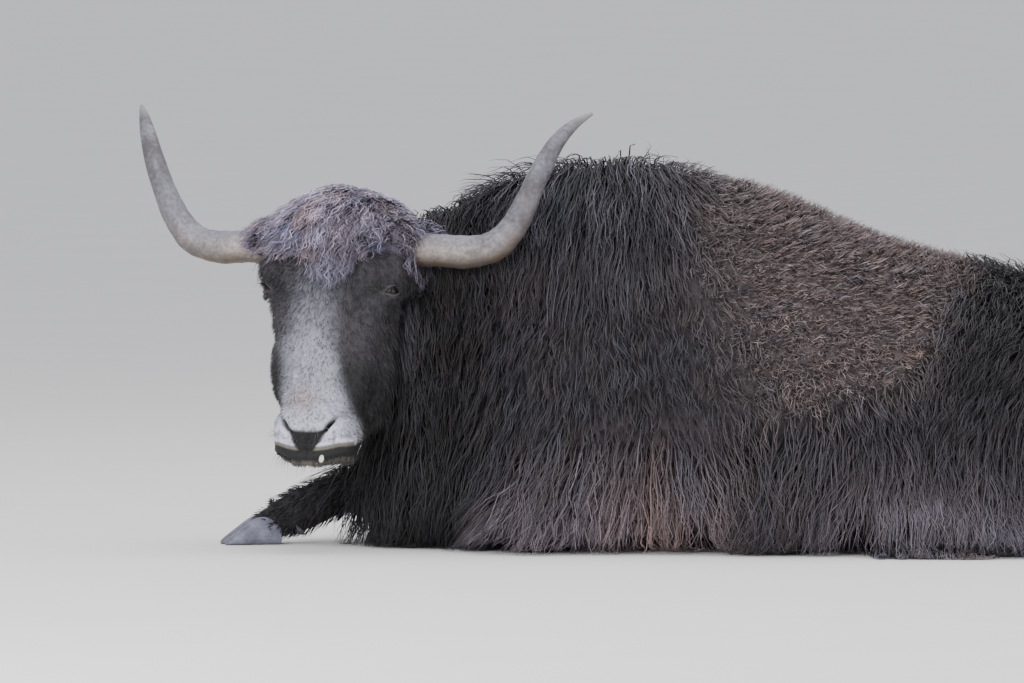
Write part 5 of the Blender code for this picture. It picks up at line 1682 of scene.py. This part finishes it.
class BodyCoat(Coat):
    """Hair of the trunk and the neck, in a band of heights."""

    lay = Lay("coat_body", 9000, 4, 0.0032, 0.022, 0.75, 0.16, 0.45, 14, 0.0030, 0.060, HAIR)

    crest_lift: float = 0.042
    parting: float = 0.020
    neck_lift: float = 0.016
    hoof_cover: Table = ((0.0, 0.438), (0.045, 0.432), (0.070, 0.415), (0.110, 0.370), (0.140, 0.0))
    lengths: Table = ((-0.60, 0.11), (-0.40, 0.10), (-0.20, 0.080), (0.05, 0.060), (0.40, 0.070), (0.55, 0.11),
                      (0.90, 0.13))

    def __init__(self, surface: Surface, seed: int, lay: Lay, low: float, high: float,
                 span: tuple[float, float], near: float = 1.0, far: float = 1.0) -> None:
        """Takes the heights and the stretch of the trunk that this piece covers."""
        super().__init__(surface, seed)
        self.lay, self.low, self.high, self.span, self.near, self.far = lay, low, high, span, near, far

    def density(self, points: np.ndarray, normals: np.ndarray) -> np.ndarray:
        """Even within the band, on the trunk and the neck only."""
        x, y, z = points.T
        local = HEAD.place_in(points)
        in_head = (np.abs(local[:, 0]) < 0.10) & (np.abs(local[:, 1] - 0.03) < 0.07)
        in_head &= (local[:, 2] > -0.30) & (local[:, 2] < 0.08)
        on_leg = (LIMBS.nearest(points, False)[0] < 1.12) & (z < 0.19)
        on_tail = LIMBS.nearest(points, True)[0] < 1.3
        inside = (z > self.low) & (z <= self.high) & (x >= self.span[0]) & (x < self.span[1])
        side = np.where(y < 0.02, self.near, self.far)
        side = side * (1 - self.woolly(points)) * (1 + 0.6 * ramp(x, -0.42, -0.50)) * (1 - 0.35 * ramp(x, 0.62, 0.70))
        side = side * (1 + 1.4 * bell(x, 0.43, 0.11) * ramp(z, 0.24, 0.18))
        return np.where(inside & ~in_head & ~on_leg & ~on_tail & (z > 0.012), side, 0.0)

    def woolly(self, points: np.ndarray) -> np.ndarray:
        """Share of the place that belongs to the wool."""
        return ramp(COAT_COLOURS.wool_share(points), 0.10, 0.85)

    def lift_at(self, points: np.ndarray) -> np.ndarray:
        """Fuller on the crest of the neck and the withers."""
        crest = ramp(points[:, 2], 0.54, 0.66) * ramp(points[:, 0], 0.06, -0.14) * ramp(points[:, 0], -0.50, -0.40)
        neck = ramp(points[:, 2], 0.50, 0.60) * bell(points[:, 0], -0.32, 0.07)
        return self.lay.lift + self.crest_lift * crest + self.neck_lift * neck

    @staticmethod
    def on_crest(roots: Roots) -> np.ndarray:
        """How far roots stand on the crest and the withers, where the hair parts."""
        return ramp(roots.normals[:, 2], 0.45, 0.85) * ramp(roots.points[:, 0], 0.12, 0.02)

    def rise_at(self, roots: Roots) -> np.ndarray:
        """Flatter on the crest."""
        return self.lay.rise * (1 - 0.45 * self.on_crest(roots))

    def sag_at(self, roots: Roots) -> np.ndarray:
        """Bends over sooner on the crest."""
        return self.lay.sag + 0.16 * self.on_crest(roots)

    def hold_in(self, points: np.ndarray) -> np.ndarray:
        """Keeps the skirt outside the hind hooves too."""
        made = super().hold_in(points)
        x, y, z = made.T
        least = interpolate(z, self.hoof_cover) * ramp(x, 0.28, 0.34) * ramp(x, 0.60, 0.53)
        outside = np.abs(y) > 0.25
        made[:, 1] = np.where(outside, np.sign(y) * np.maximum(np.abs(y), least), y)
        return made

    def length(self, points: np.ndarray) -> np.ndarray:
        """Short on the flanks, long on the crest, the throat and the skirt."""
        x, z = points[:, 0], points[:, 2]
        body = interpolate(x, self.lengths)
        crest = ramp(z, 0.58, 0.68) * ramp(x, 0.06, -0.06)
        neck_top = ramp(z, 0.48, 0.56) * bell(x, -0.38, 0.07)
        skirt = ramp(z, 0.27, 0.21)
        long = body + (0.130 - body) * np.maximum(crest, neck_top)
        long = long + (0.215 - long) * skirt
        poll = ramp(z, 0.44, 0.50) * ramp(x, -0.43, -0.49)
        return np.minimum(long, 1.1 * z + 0.05) * (1 - 0.6 * poll)

    def flow(self, points: np.ndarray, normals: np.ndarray) -> np.ndarray:
        """Down the sides, with the lean of the place."""
        lean = lean_of(points)
        crest = ramp(points[:, 2], 0.54, 0.62) * ramp(points[:, 0], 0.10, -0.02)
        side = np.sign(points[:, 1] - self.parting * crest + 1e-6) * (0.25 + 0.9 * np.abs(normals[:, 2]))
        rump = ramp(points[:, 0], 0.72, 0.85)
        return np.stack([lean + 0.5 * rump * np.abs(normals[:, 2]), side, -np.ones(len(points))], 1)


class Mane(BodyCoat):
    """Long, straighter hair that hangs from the crest over the withers."""

    def density(self, points: np.ndarray, normals: np.ndarray) -> np.ndarray:
        """Along the ridge only."""
        ridge = ramp(normals[:, 2], 0.30, 0.60) * ramp(points[:, 0], -0.02, -0.07)
        return super().density(points, normals) * ridge

    def length(self, points: np.ndarray) -> np.ndarray:
        """Longest over the withers."""
        return 0.125 + 0.065 * bell(points[:, 0], -0.18, 0.12)


class WoolCoat(BodyCoat):
    """Short, curled wool of the brown saddle."""

    def woolly(self, points: np.ndarray) -> np.ndarray:
        """The share that is not wool, so that only the wool grows."""
        return 1 - super().woolly(points)

    def length(self, points: np.ndarray) -> np.ndarray:
        """Short, a little longer at the lower edge."""
        return 0.040 + 0.014 * ramp(points[:, 2], 0.36, 0.26)


class LimbCoat(Coat):
    """Hair of the legs, long above and short at the hooves, or of the tail."""

    def __init__(self, surface: Surface, seed: int, lay: Lay, tail: bool, lengths: Table) -> None:
        """Takes the lengths of the hair by the share of the limb."""
        super().__init__(surface, seed)
        self.lay, self.tail, self.lengths = lay, tail, lengths

    def density(self, points: np.ndarray, normals: np.ndarray) -> np.ndarray:
        """Even over the limbs."""
        far, _, share = LIMBS.nearest(points, self.tail)
        inside = (far < (1.3 if self.tail else 1.12)) & (points[:, 2] > 0.006)
        inside &= self.tail | (points[:, 2] < 0.19)
        return np.where(inside, 1 + share, 0.0)

    def length(self, points: np.ndarray) -> np.ndarray:
        """By the share of the limb, and short near the floor."""
        share = LIMBS.nearest(points, self.tail)[2]
        places, lengths = np.array(self.lengths).T
        return np.interp(share, places, lengths)

    def flow(self, points: np.ndarray, normals: np.ndarray) -> np.ndarray:
        """Along the limb and a little down."""
        return LIMBS.nearest(points, self.tail)[1] - 0.3 * UP


class FaceCoat(Coat):
    """Short hair of the face, longer on the cheeks and under the jaw."""

    on_head = True
    widest = (0.70, 0.90)

    def __init__(self, surface: Surface, seed: int, lay: Lay) -> None:
        """Takes the lay of the hair."""
        super().__init__(surface, seed)
        self.lay = lay
        self.head = Head()

    def on_ear(self, local: np.ndarray) -> np.ndarray:
        """Which points lie on the ears."""
        flip = np.sign(local[:, :1]) * np.array((1, 0, 0)) + np.array((0, 1, 1))
        away = local - np.array(self.head.ear_root) * flip
        along = (away * unit(np.array(self.head.ear_points)) * flip).sum(1)
        return (along > 0.028) & (local[:, 1] > 0.05) & (np.abs(local[:, 0]) > 0.112)

    def bare(self, local: np.ndarray) -> np.ndarray:
        """Which points are in the eyes, the nostrils, the mouth or on the pad of the nose."""
        side = np.abs(local[:, 0])
        folded = np.column_stack([side, local[:, 1], local[:, 2]])
        in_eye = HEAD.eye_share(local) < 1.35
        hole = np.linalg.norm((folded - np.array(self.head.nostril)) / (0.010, 0.030, 0.020), axis=1) < 0.8
        level = HEAD.mouth_level(local)
        lips = (level > -0.0155) & (level < 0.0105) & (local[:, 1] < 0.035)
        return in_eye | hole | lips | (COAT_COLOURS.nose_share(local) > 0.35)

    def density(self, points: np.ndarray, normals: np.ndarray) -> np.ndarray:
        """Densest on the bridge, thinner behind, none where the skin is bare."""
        local = HEAD.place_in(points)
        wanted = 1.6 + 1.6 * ramp(local[:, 2], -0.26, -0.36) - 1.1 * ramp(local[:, 1], 0.0, 0.06)
        wanted = np.where(local[:, 2] > -0.02, 0.25, wanted)
        return np.where(self.bare(local) | self.on_ear(local), 0.0, wanted)

    def length(self, points: np.ndarray) -> np.ndarray:
        """Longer from the muzzle to the brow and to the back of the jaw."""
        local = HEAD.place_in(points)
        front = np.interp(local[:, 2], (-0.40, -0.30, -0.15, -0.08), (0.0065, 0.0095, 0.014, 0.018))
        cheek = ramp(local[:, 1], -0.02, 0.05) * ramp(local[:, 2], -0.42, -0.34)
        back = ramp(local[:, 1], 0.03, 0.09) * ramp(local[:, 2], -0.40, -0.30)
        chin = ramp(HEAD.mouth_level(local), -0.015, -0.025)
        rim = ramp(HEAD.mouth_level(local), 0.024, 0.012) * ramp(HEAD.mouth_level(local), 0.0, 0.010)
        return (front + 0.018 * cheek + 0.034 * back + 0.002 * chin) * (1 - 0.55 * rim)

    def lift_at(self, points: np.ndarray) -> np.ndarray:
        """Close on the bridge, fuller on the cheeks."""
        return 0.28 * self.length(points)

    def flow(self, points: np.ndarray, normals: np.ndarray) -> np.ndarray:
        """Down the face, outwards from its middle, and back over the cheeks."""
        local = HEAD.place_in(points)
        cheek = ramp(local[:, 1], -0.03, 0.04)
        ways = np.stack([local[:, 0] / 0.16 * (1 - cheek), 0.55 * cheek, -np.ones(len(local))], 1)
        return HEAD.turn_out(ways)


class EarCoat(FaceCoat):
    """Hair of the ears, longest along their edges."""

    def density(self, points: np.ndarray, normals: np.ndarray) -> np.ndarray:
        """Even over the ears."""
        return self.on_ear(HEAD.place_in(points)).astype(float)

    def length(self, points: np.ndarray) -> np.ndarray:
        """About the same everywhere."""
        return np.full(len(points), 0.026)

    def flow(self, points: np.ndarray, normals: np.ndarray) -> np.ndarray:
        """Along the ear and down."""
        local = HEAD.place_in(points)
        flip = np.sign(local[:, :1]) * np.array((1, 0, 0)) + np.array((0, 1, 1))
        return HEAD.turn_out(unit(np.array(self.head.ear_points)) * flip) - 0.5 * UP


class Forelock(FaceCoat):
    """The thick, wavy cap of hair that falls over the brow and the roots of the horns."""

    lowest: Table = ((-0.16, -0.006), (-0.12, -0.004), (-0.08, -0.014), (-0.03, -0.030), (0.02, -0.050),
                     (0.05, -0.038), (0.08, -0.016), (0.105, 0.002), (0.125, -0.004), (0.15, -0.030))
    lengths: Table = ((-0.14, 0.066), (-0.10, 0.060), (-0.08, 0.062), (0.00, 0.078), (0.02, 0.084), (0.05, 0.074),
                      (0.08, 0.056), (0.105, 0.042), (0.125, 0.060), (0.15, 0.070))
    ways: Table = ((-0.14, -1.40), (-0.11, -0.90), (-0.08, -0.45), (-0.03, -0.15), (0.02, -0.02), (0.05, -0.12),
                   (0.09, -0.22), (0.108, 0.30), (0.14, 0.70))
    crown: Table = ((-0.840, 0.569), (-0.756, 0.627), (-0.678, 0.666), (-0.635, 0.670), (-0.556, 0.650),
                    (-0.491, 0.620), (-0.456, 0.586))

    def density(self, points: np.ndarray, normals: np.ndarray) -> np.ndarray:
        """Over the dome of the head and round the roots of the horns."""
        local = HEAD.place_in(points)
        dome = (local[:, 2] > interpolate(local[:, 0], self.lowest)) & (local[:, 1] < 0.13)
        sides = 0.8 * ramp(local[:, 0], -0.06, -0.10) - 0.50 * ramp(local[:, 0], 0.085, 0.115)
        return np.where(dome & ~self.on_ear(local), 1.0 + sides, 0.0)

    def length(self, points: np.ndarray) -> np.ndarray:
        """Longest in the tongue over the forehead and where it drapes over the left horn."""
        local = HEAD.place_in(points)
        return interpolate(local[:, 0], self.lengths) * (1 - 0.3 * ramp(local[:, 1], 0.02, 0.10))

    def lift_at(self, points: np.ndarray) -> np.ndarray:
        """Close on the crown, fuller in front."""
        local = HEAD.place_in(points)
        temple = 0.018 * bell(local[:, 0], -0.085, 0.035) + 0.016 * bell(local[:, 0], 0.095, 0.030)
        temple = temple * ramp(local[:, 2], -0.02, 0.01)
        return 0.004 + 0.009 * ramp(local[:, 2], 0.06, 0.0) + temple

    def hold_in(self, points: np.ndarray) -> np.ndarray:
        """Keeps the outline of the crown even, from horn to horn."""
        made = super().hold_in(points)
        highest = interpolate(made[:, 0], self.crown)
        made[:, 2] = soft_limit(made[:, 2], highest - 0.012, highest)
        return made

    def root_colours(self, points: np.ndarray) -> np.ndarray:
        """One hue, with a painted highlight on the crown where light falls from above, and painted shade towards both
        sides, darkest beyond the parting.
        """
        local = HEAD.place_in(points)
        # Painted light: brighter on the crown, with painted shade to both sides.
        shade = 1 + 0.30 * ramp(local[:, 2], 0.00, 0.06) - 0.38 * ramp(local[:, 0], 0.03, 0.10)
        shade = shade - 0.12 * ramp(local[:, 0], -0.04, -0.10)
        return np.array(COAT_COLOURS.forelock) * shade[:, None]

    def flow(self, points: np.ndarray, normals: np.ndarray) -> np.ndarray:
        """Down over the brow in the middle, outwards beyond the parting."""
        local = HEAD.place_in(points)
        outward = interpolate(local[:, 0], self.ways)
        return HEAD.turn_out(np.stack([outward, np.full(len(local), -0.35), -1 + 0.5 * np.abs(outward)], 1))


@dataclass
class Bristles:
    """Whiskers of the lips and lashes of the lids, set on their roots by Geometry Nodes."""

    name: str
    radius: float
    length: float
    finish: Finish
    seed: int = 3

    def group(self) -> bpy.types.NodeTree:
        """One bent, tapered bristle on each root, aimed as the root says.

        Returns:
            A node group with the inputs Roots, Radius, Length, Seed and Finish.
        """
        label = "bristles"
        if label in bpy.data.node_groups:
            return bpy.data.node_groups[label]
        group = bpy.data.node_groups.new(label, "GeometryNodeTree")
        for name, kind in (("Roots", "Geometry"), ("Radius", "Float"), ("Length", "Float"), ("Seed", "Int"),
                           ("Finish", "Material")):
            group.interface.new_socket(name, in_out="INPUT", socket_type=f"NodeSocket{kind}")
        group.interface.new_socket("Bristles", in_out="OUTPUT", socket_type="NodeSocketGeometry")
        nodes = Nodes(group)
        source = nodes.add("NodeGroupInput")
        cone = nodes.add("GeometryNodeMeshCone", {
            "Vertices": 5, "Side Segments": 4, "Radius Bottom": source.outputs["Radius"],
            "Depth": source.outputs["Length"]})
        place = nodes.add("GeometryNodeInputPosition")
        height = nodes.add("ShaderNodeSeparateXYZ", {0: place.outputs[0]}).outputs[2]
        bend = nodes.maths("DIVIDE", nodes.maths("MULTIPLY", height, height), source.outputs["Length"])
        shift = nodes.add("ShaderNodeCombineXYZ", {1: nodes.maths("MULTIPLY", bend, -0.35)})
        bent = nodes.add("GeometryNodeSetPosition", {"Geometry": cone.outputs[0], "Offset": shift.outputs[0]})
        aim = nodes.add("GeometryNodeInputNamedAttribute", {"Name": "aim"}, data_type="FLOAT_VECTOR")
        turn = nodes.add("FunctionNodeAlignRotationToVector", {"Vector": aim.outputs[0]}, axis="Z")
        size = nodes.add("FunctionNodeRandomValue", {2: 0.6, 3: 1.2, "Seed": source.outputs["Seed"]})
        placed = nodes.add("GeometryNodeInstanceOnPoints", {
            "Points": source.outputs["Roots"], "Instance": bent.outputs[0], "Rotation": turn.outputs[0],
            "Scale": size.outputs[1]})
        solid = nodes.add("GeometryNodeRealizeInstances", {"Geometry": placed.outputs[0]})
        dressed = nodes.add("GeometryNodeSetMaterial", {
            "Geometry": solid.outputs[0], "Material": source.outputs["Finish"]})
        target = nodes.add("NodeGroupOutput")
        group.links.new(dressed.outputs[0], target.inputs["Bristles"])
        return group

    def build(self, roots: np.ndarray, aims: np.ndarray) -> bpy.types.Object:
        """Grows the bristles.

        Args:
            roots: World points on the skin.
            aims: Direction of each bristle.

        Returns:
            The piece, as a plain mesh.
        """
        mesh = bpy.data.meshes.new(self.name)
        mesh.from_pydata(roots.tolist(), [], [])
        layer = mesh.attributes.new("aim", "FLOAT_VECTOR", "POINT")
        layer.data.foreach_set("vector", aims.ravel())
        piece = bpy.data.objects.new(self.name, mesh)
        bpy.context.scene.collection.objects.link(piece)
        growth = piece.modifiers.new("growth", "NODES")
        growth.node_group = self.group()
        values = {"Radius": self.radius, "Length": self.length, "Seed": self.seed, "Finish": self.finish.make()}
        for item in growth.node_group.interface.items_tree:
            if item.name in values and item.in_out == "INPUT":
                growth[item.identifier] = values[item.name]
        settle(piece)
        smooth_faces(piece)
        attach(piece, "root")
        LOG.info("%s: %d faces", piece.name, len(piece.data.polygons))
        return piece


def grow_bristles(surface: Surface) -> None:
    """Sets the whiskers round the muzzle and chin and the lashes over the eyes."""
    rng = np.random.default_rng(SEED + 90)

    def on_muzzle(points: np.ndarray, normals: np.ndarray) -> np.ndarray:
        """Sides of the muzzle and the chin."""
        local = HEAD.place_in(points)
        level = HEAD.mouth_level(local)
        lip = bell(level, 0.024, 0.012) + bell(level, -0.032, 0.010)
        return lip * ramp(local[:, 1], 0.03, 0.0) * ramp(np.abs(local[:, 0]), 0.004, 0.014)

    roots = surface.scatter(on_muzzle, rng, 150, True)
    dark = PlainFinish("whisker", "chin_hair", 0.4, (0.30, 0.27, 0.25), (0.05, 0.045, 0.045), 300.0)
    aims = unit(roots.normals + rng.normal(0, 0.25, roots.normals.shape) - 0.35 * UP)
    Bristles("whiskers", 0.00035, 0.026, dark).build(roots.points, aims)
    looks, across, up = HEAD.eye_axes()
    wide, high = HEAD.lid_opening
    lashes, ways = [], []
    for mirror in (1, -1):
        flip = np.array((mirror, 1, 1))
        for angle in rng.uniform(0.25, 2.9, 70):
            side, height = wide * math.cos(angle), high * 1.12 * math.sin(angle)
            ahead = math.sqrt(HEAD.eye_radius**2 - side**2 - height**2) + 0.0018
            lashes.append((np.array(HEAD.eye) + across * side + up * height + looks * ahead) * flip)
            ways.append((looks * 0.9 + up * 0.35 + across * 0.5 * math.cos(angle) - UP * 0.35) * flip)
    lash = PlainFinish("lash", "face_hair", 0.4, (0.020, 0.018, 0.018), (0.012, 0.012, 0.012), 300.0)
    Bristles("lashes", 0.00035, 0.014, lash).build(HEAD.place_out(np.array(lashes)), HEAD.turn_out(unit(np.array(ways))))


@dataclass
class Stage:
    """Floor, lights and camera."""

    camera_target: Colour = (-0.3293, 0.0, 0.3728)
    camera_distance: float = 30.0
    camera_elevation: float = math.radians(3.2)
    view_width: float = 1.8944
    reach: float = 90.0
    lamps: tuple[tuple[str, Colour, float, float], ...] = (
        ("key", (-2.4, -4.2, 2.6), 2.6, 190.0),
        ("fill", (2.8, -4.0, 1.3), 3.0, 80.0),
        ("top", (0.2, 0.6, 4.2), 3.2, 120.0),
    )

    def build(self) -> None:
        """Makes the floor, the lamps, the sky and the camera."""
        floor = self.floor()
        finish = PlainFinish("floor", "floor", 0.85, (0.84, 0.83, 0.81), (0.80, 0.79, 0.77), 3.0)
        floor.data.materials.append(finish.make())
        for name, place, size, power in self.lamps:
            lamp = bpy.data.lights.new(name, "AREA")
            lamp.energy, lamp.size = power, size
            holder = bpy.data.objects.new(name, lamp)
            holder.location = place
            aim = Vector((-0.1, 0.0, 0.3)) - Vector(place)
            holder.rotation_euler = aim.to_track_quat("-Z", "Y").to_euler()
            bpy.context.scene.collection.objects.link(holder)
        world = bpy.data.worlds.new("studio")
        world.use_nodes = True
        world.node_tree.nodes["Background"].inputs["Color"].default_value = (0.92, 0.94, 1.0, 1)
        world.node_tree.nodes["Background"].inputs["Strength"].default_value = 0.9
        bpy.context.scene.world = world
        self.aim_camera()

    def floor(self) -> bpy.types.Object:
        """A flat floor that fills the view from every side."""
        corners = [(x * self.reach, y * self.reach, 0.0) for x, y in ((-1, -1), (1, -1), (1, 1), (-1, 1))]
        mesh = bpy.data.meshes.new("floor")
        mesh.from_pydata(corners, [], [(0, 1, 2, 3)])
        floor = bpy.data.objects.new("floor", mesh)
        bpy.context.scene.collection.objects.link(floor)
        return floor

    def aim_camera(self) -> None:
        """Sets the camera at the photograph's angle and framing."""
        data = bpy.data.cameras.new("camera")
        camera = bpy.data.objects.new("camera", data)
        bpy.context.scene.collection.objects.link(camera)
        data.sensor_width = 36.0
        data.lens = data.sensor_width * self.camera_distance / self.view_width
        data.clip_end = 200.0
        back = Vector((0, -math.cos(self.camera_elevation), math.sin(self.camera_elevation)))
        camera.location = Vector(self.camera_target) + back * self.camera_distance
        camera.rotation_euler = (-back).to_track_quat("-Z", "Y").to_euler()
        bpy.context.scene.camera = camera


def build_coats(surface: Surface) -> None:
    """Builds the coat piece by piece."""
    upper = Lay("coat_upper", 8500, 4, 0.0023, 0.022, 0.70, 0.20, 0.45, 16, 0.0050, 0.060, HAIR, stray=0.25)
    skirt = Lay("coat_skirt", 6800, 5, 0.0022, 0.032, 0.60, 0.18, 0.68, 34, 0.0100, 0.085, HAIR, stray=0.22)
    bands = (
        ("coat_skirt_front", skirt, -1.0, 0.235, (-1.0, 0.13)),
        ("coat_skirt_rear", skirt, -1.0, 0.235, (0.13, 2.0)),
        ("coat_shoulder", upper, 0.235, 1.0, (-1.0, 0.20)),
        ("coat_haunch", replace(upper, count=6900), 0.235, 1.0, (0.20, 2.0)),
    )
    for seed, (name, lay, low, high, span) in enumerate(bands):
        BodyCoat(surface, seed, replace(lay, name=name), low, high, span, 1.4, 0.75).build()
    wool = Lay("coat_wool", 12000, 3, 0.0021, 0.015, 1.10, 0.03, 0.50, 7, 0.0060, 0.024, HAIR, stray=1.30,
               tone=0.40)
    WoolCoat(surface, 5, wool, 0.18, 1.0, (-1.0, 2.0), 1.4, 0.75).build()
    mane = Lay("coat_mane", 3400, 5, 0.0022, 0.022, 0.60, 0.24, 0.62, 24, 0.0045, 0.090, HAIR, stray=0.16, tone=0.42)
    Mane(surface, 6, mane, 0.52, 1.0, (-0.48, 0.0), 1.2, 1.0).build()
    leg = Lay("coat_legs", 5200, 3, 0.0024, 0.005, 0.28, 0.08, 0.20, 6, 0.0010, 0.030, HAIR, stray=0.16,
              slot="leg_hair")
    LimbCoat(surface, 21, leg, False, ((0.0, 0.085), (0.35, 0.045), (0.75, 0.026), (1.0, 0.018))).build()
    tail = Lay("coat_tail", 1600, 5, 0.0030, 0.030, 0.50, 0.10, 0.50, 14, 0.0050, 0.070, HAIR, stray=0.22)
    LimbCoat(surface, 22, tail, True, ((0.0, 0.060), (0.50, 0.110), (1.0, 0.120))).build()
    face = Lay("coat_face", 18500, 2, 0.0011, 0.004, 0.42, 0.05, 0.20, 6, 0.0005, 0.015, FACE_HAIR, stray=0.24,
               tone=0.42, tint=0.02, slot="face_hair")
    FaceCoat(surface, 31, face).build()
    ear = Lay("coat_ears", 1200, 4, 0.0020, 0.006, 0.35, 0.12, 0.40, 9, 0.0020, 0.040, HAIR, stray=0.24,
              slot="ear_hair")
    EarCoat(surface, 32, ear).build()
    lock = Lay("coat_forelock", 7000, 5, 0.0018, 0.012, 0.36, 0.12, 0.60, 24, 0.0072, 0.034, CURLS, stray=0.34,
               tone=0.52)
    Forelock(surface, 33, lock).build()
    grow_bristles(surface)


def main() -> None:
    """Builds everything in order."""
    logging.basicConfig(level=logging.INFO, format="%(name)s %(relativeCreated)d %(message)s")
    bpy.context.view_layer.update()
    Stage().build()
    skin = Skin().build()
    Eyes().build()
    Horns().build()
    Claws().build()
    Tooth().build()
    over = ("hornsheath", "hoof_shell", "dewclaw_shell_fore_right")
    build_coats(Surface(skin, [piece for piece in bpy.data.objects if piece.name.startswith(over)]))


if __name__ == "__main__":
    main()
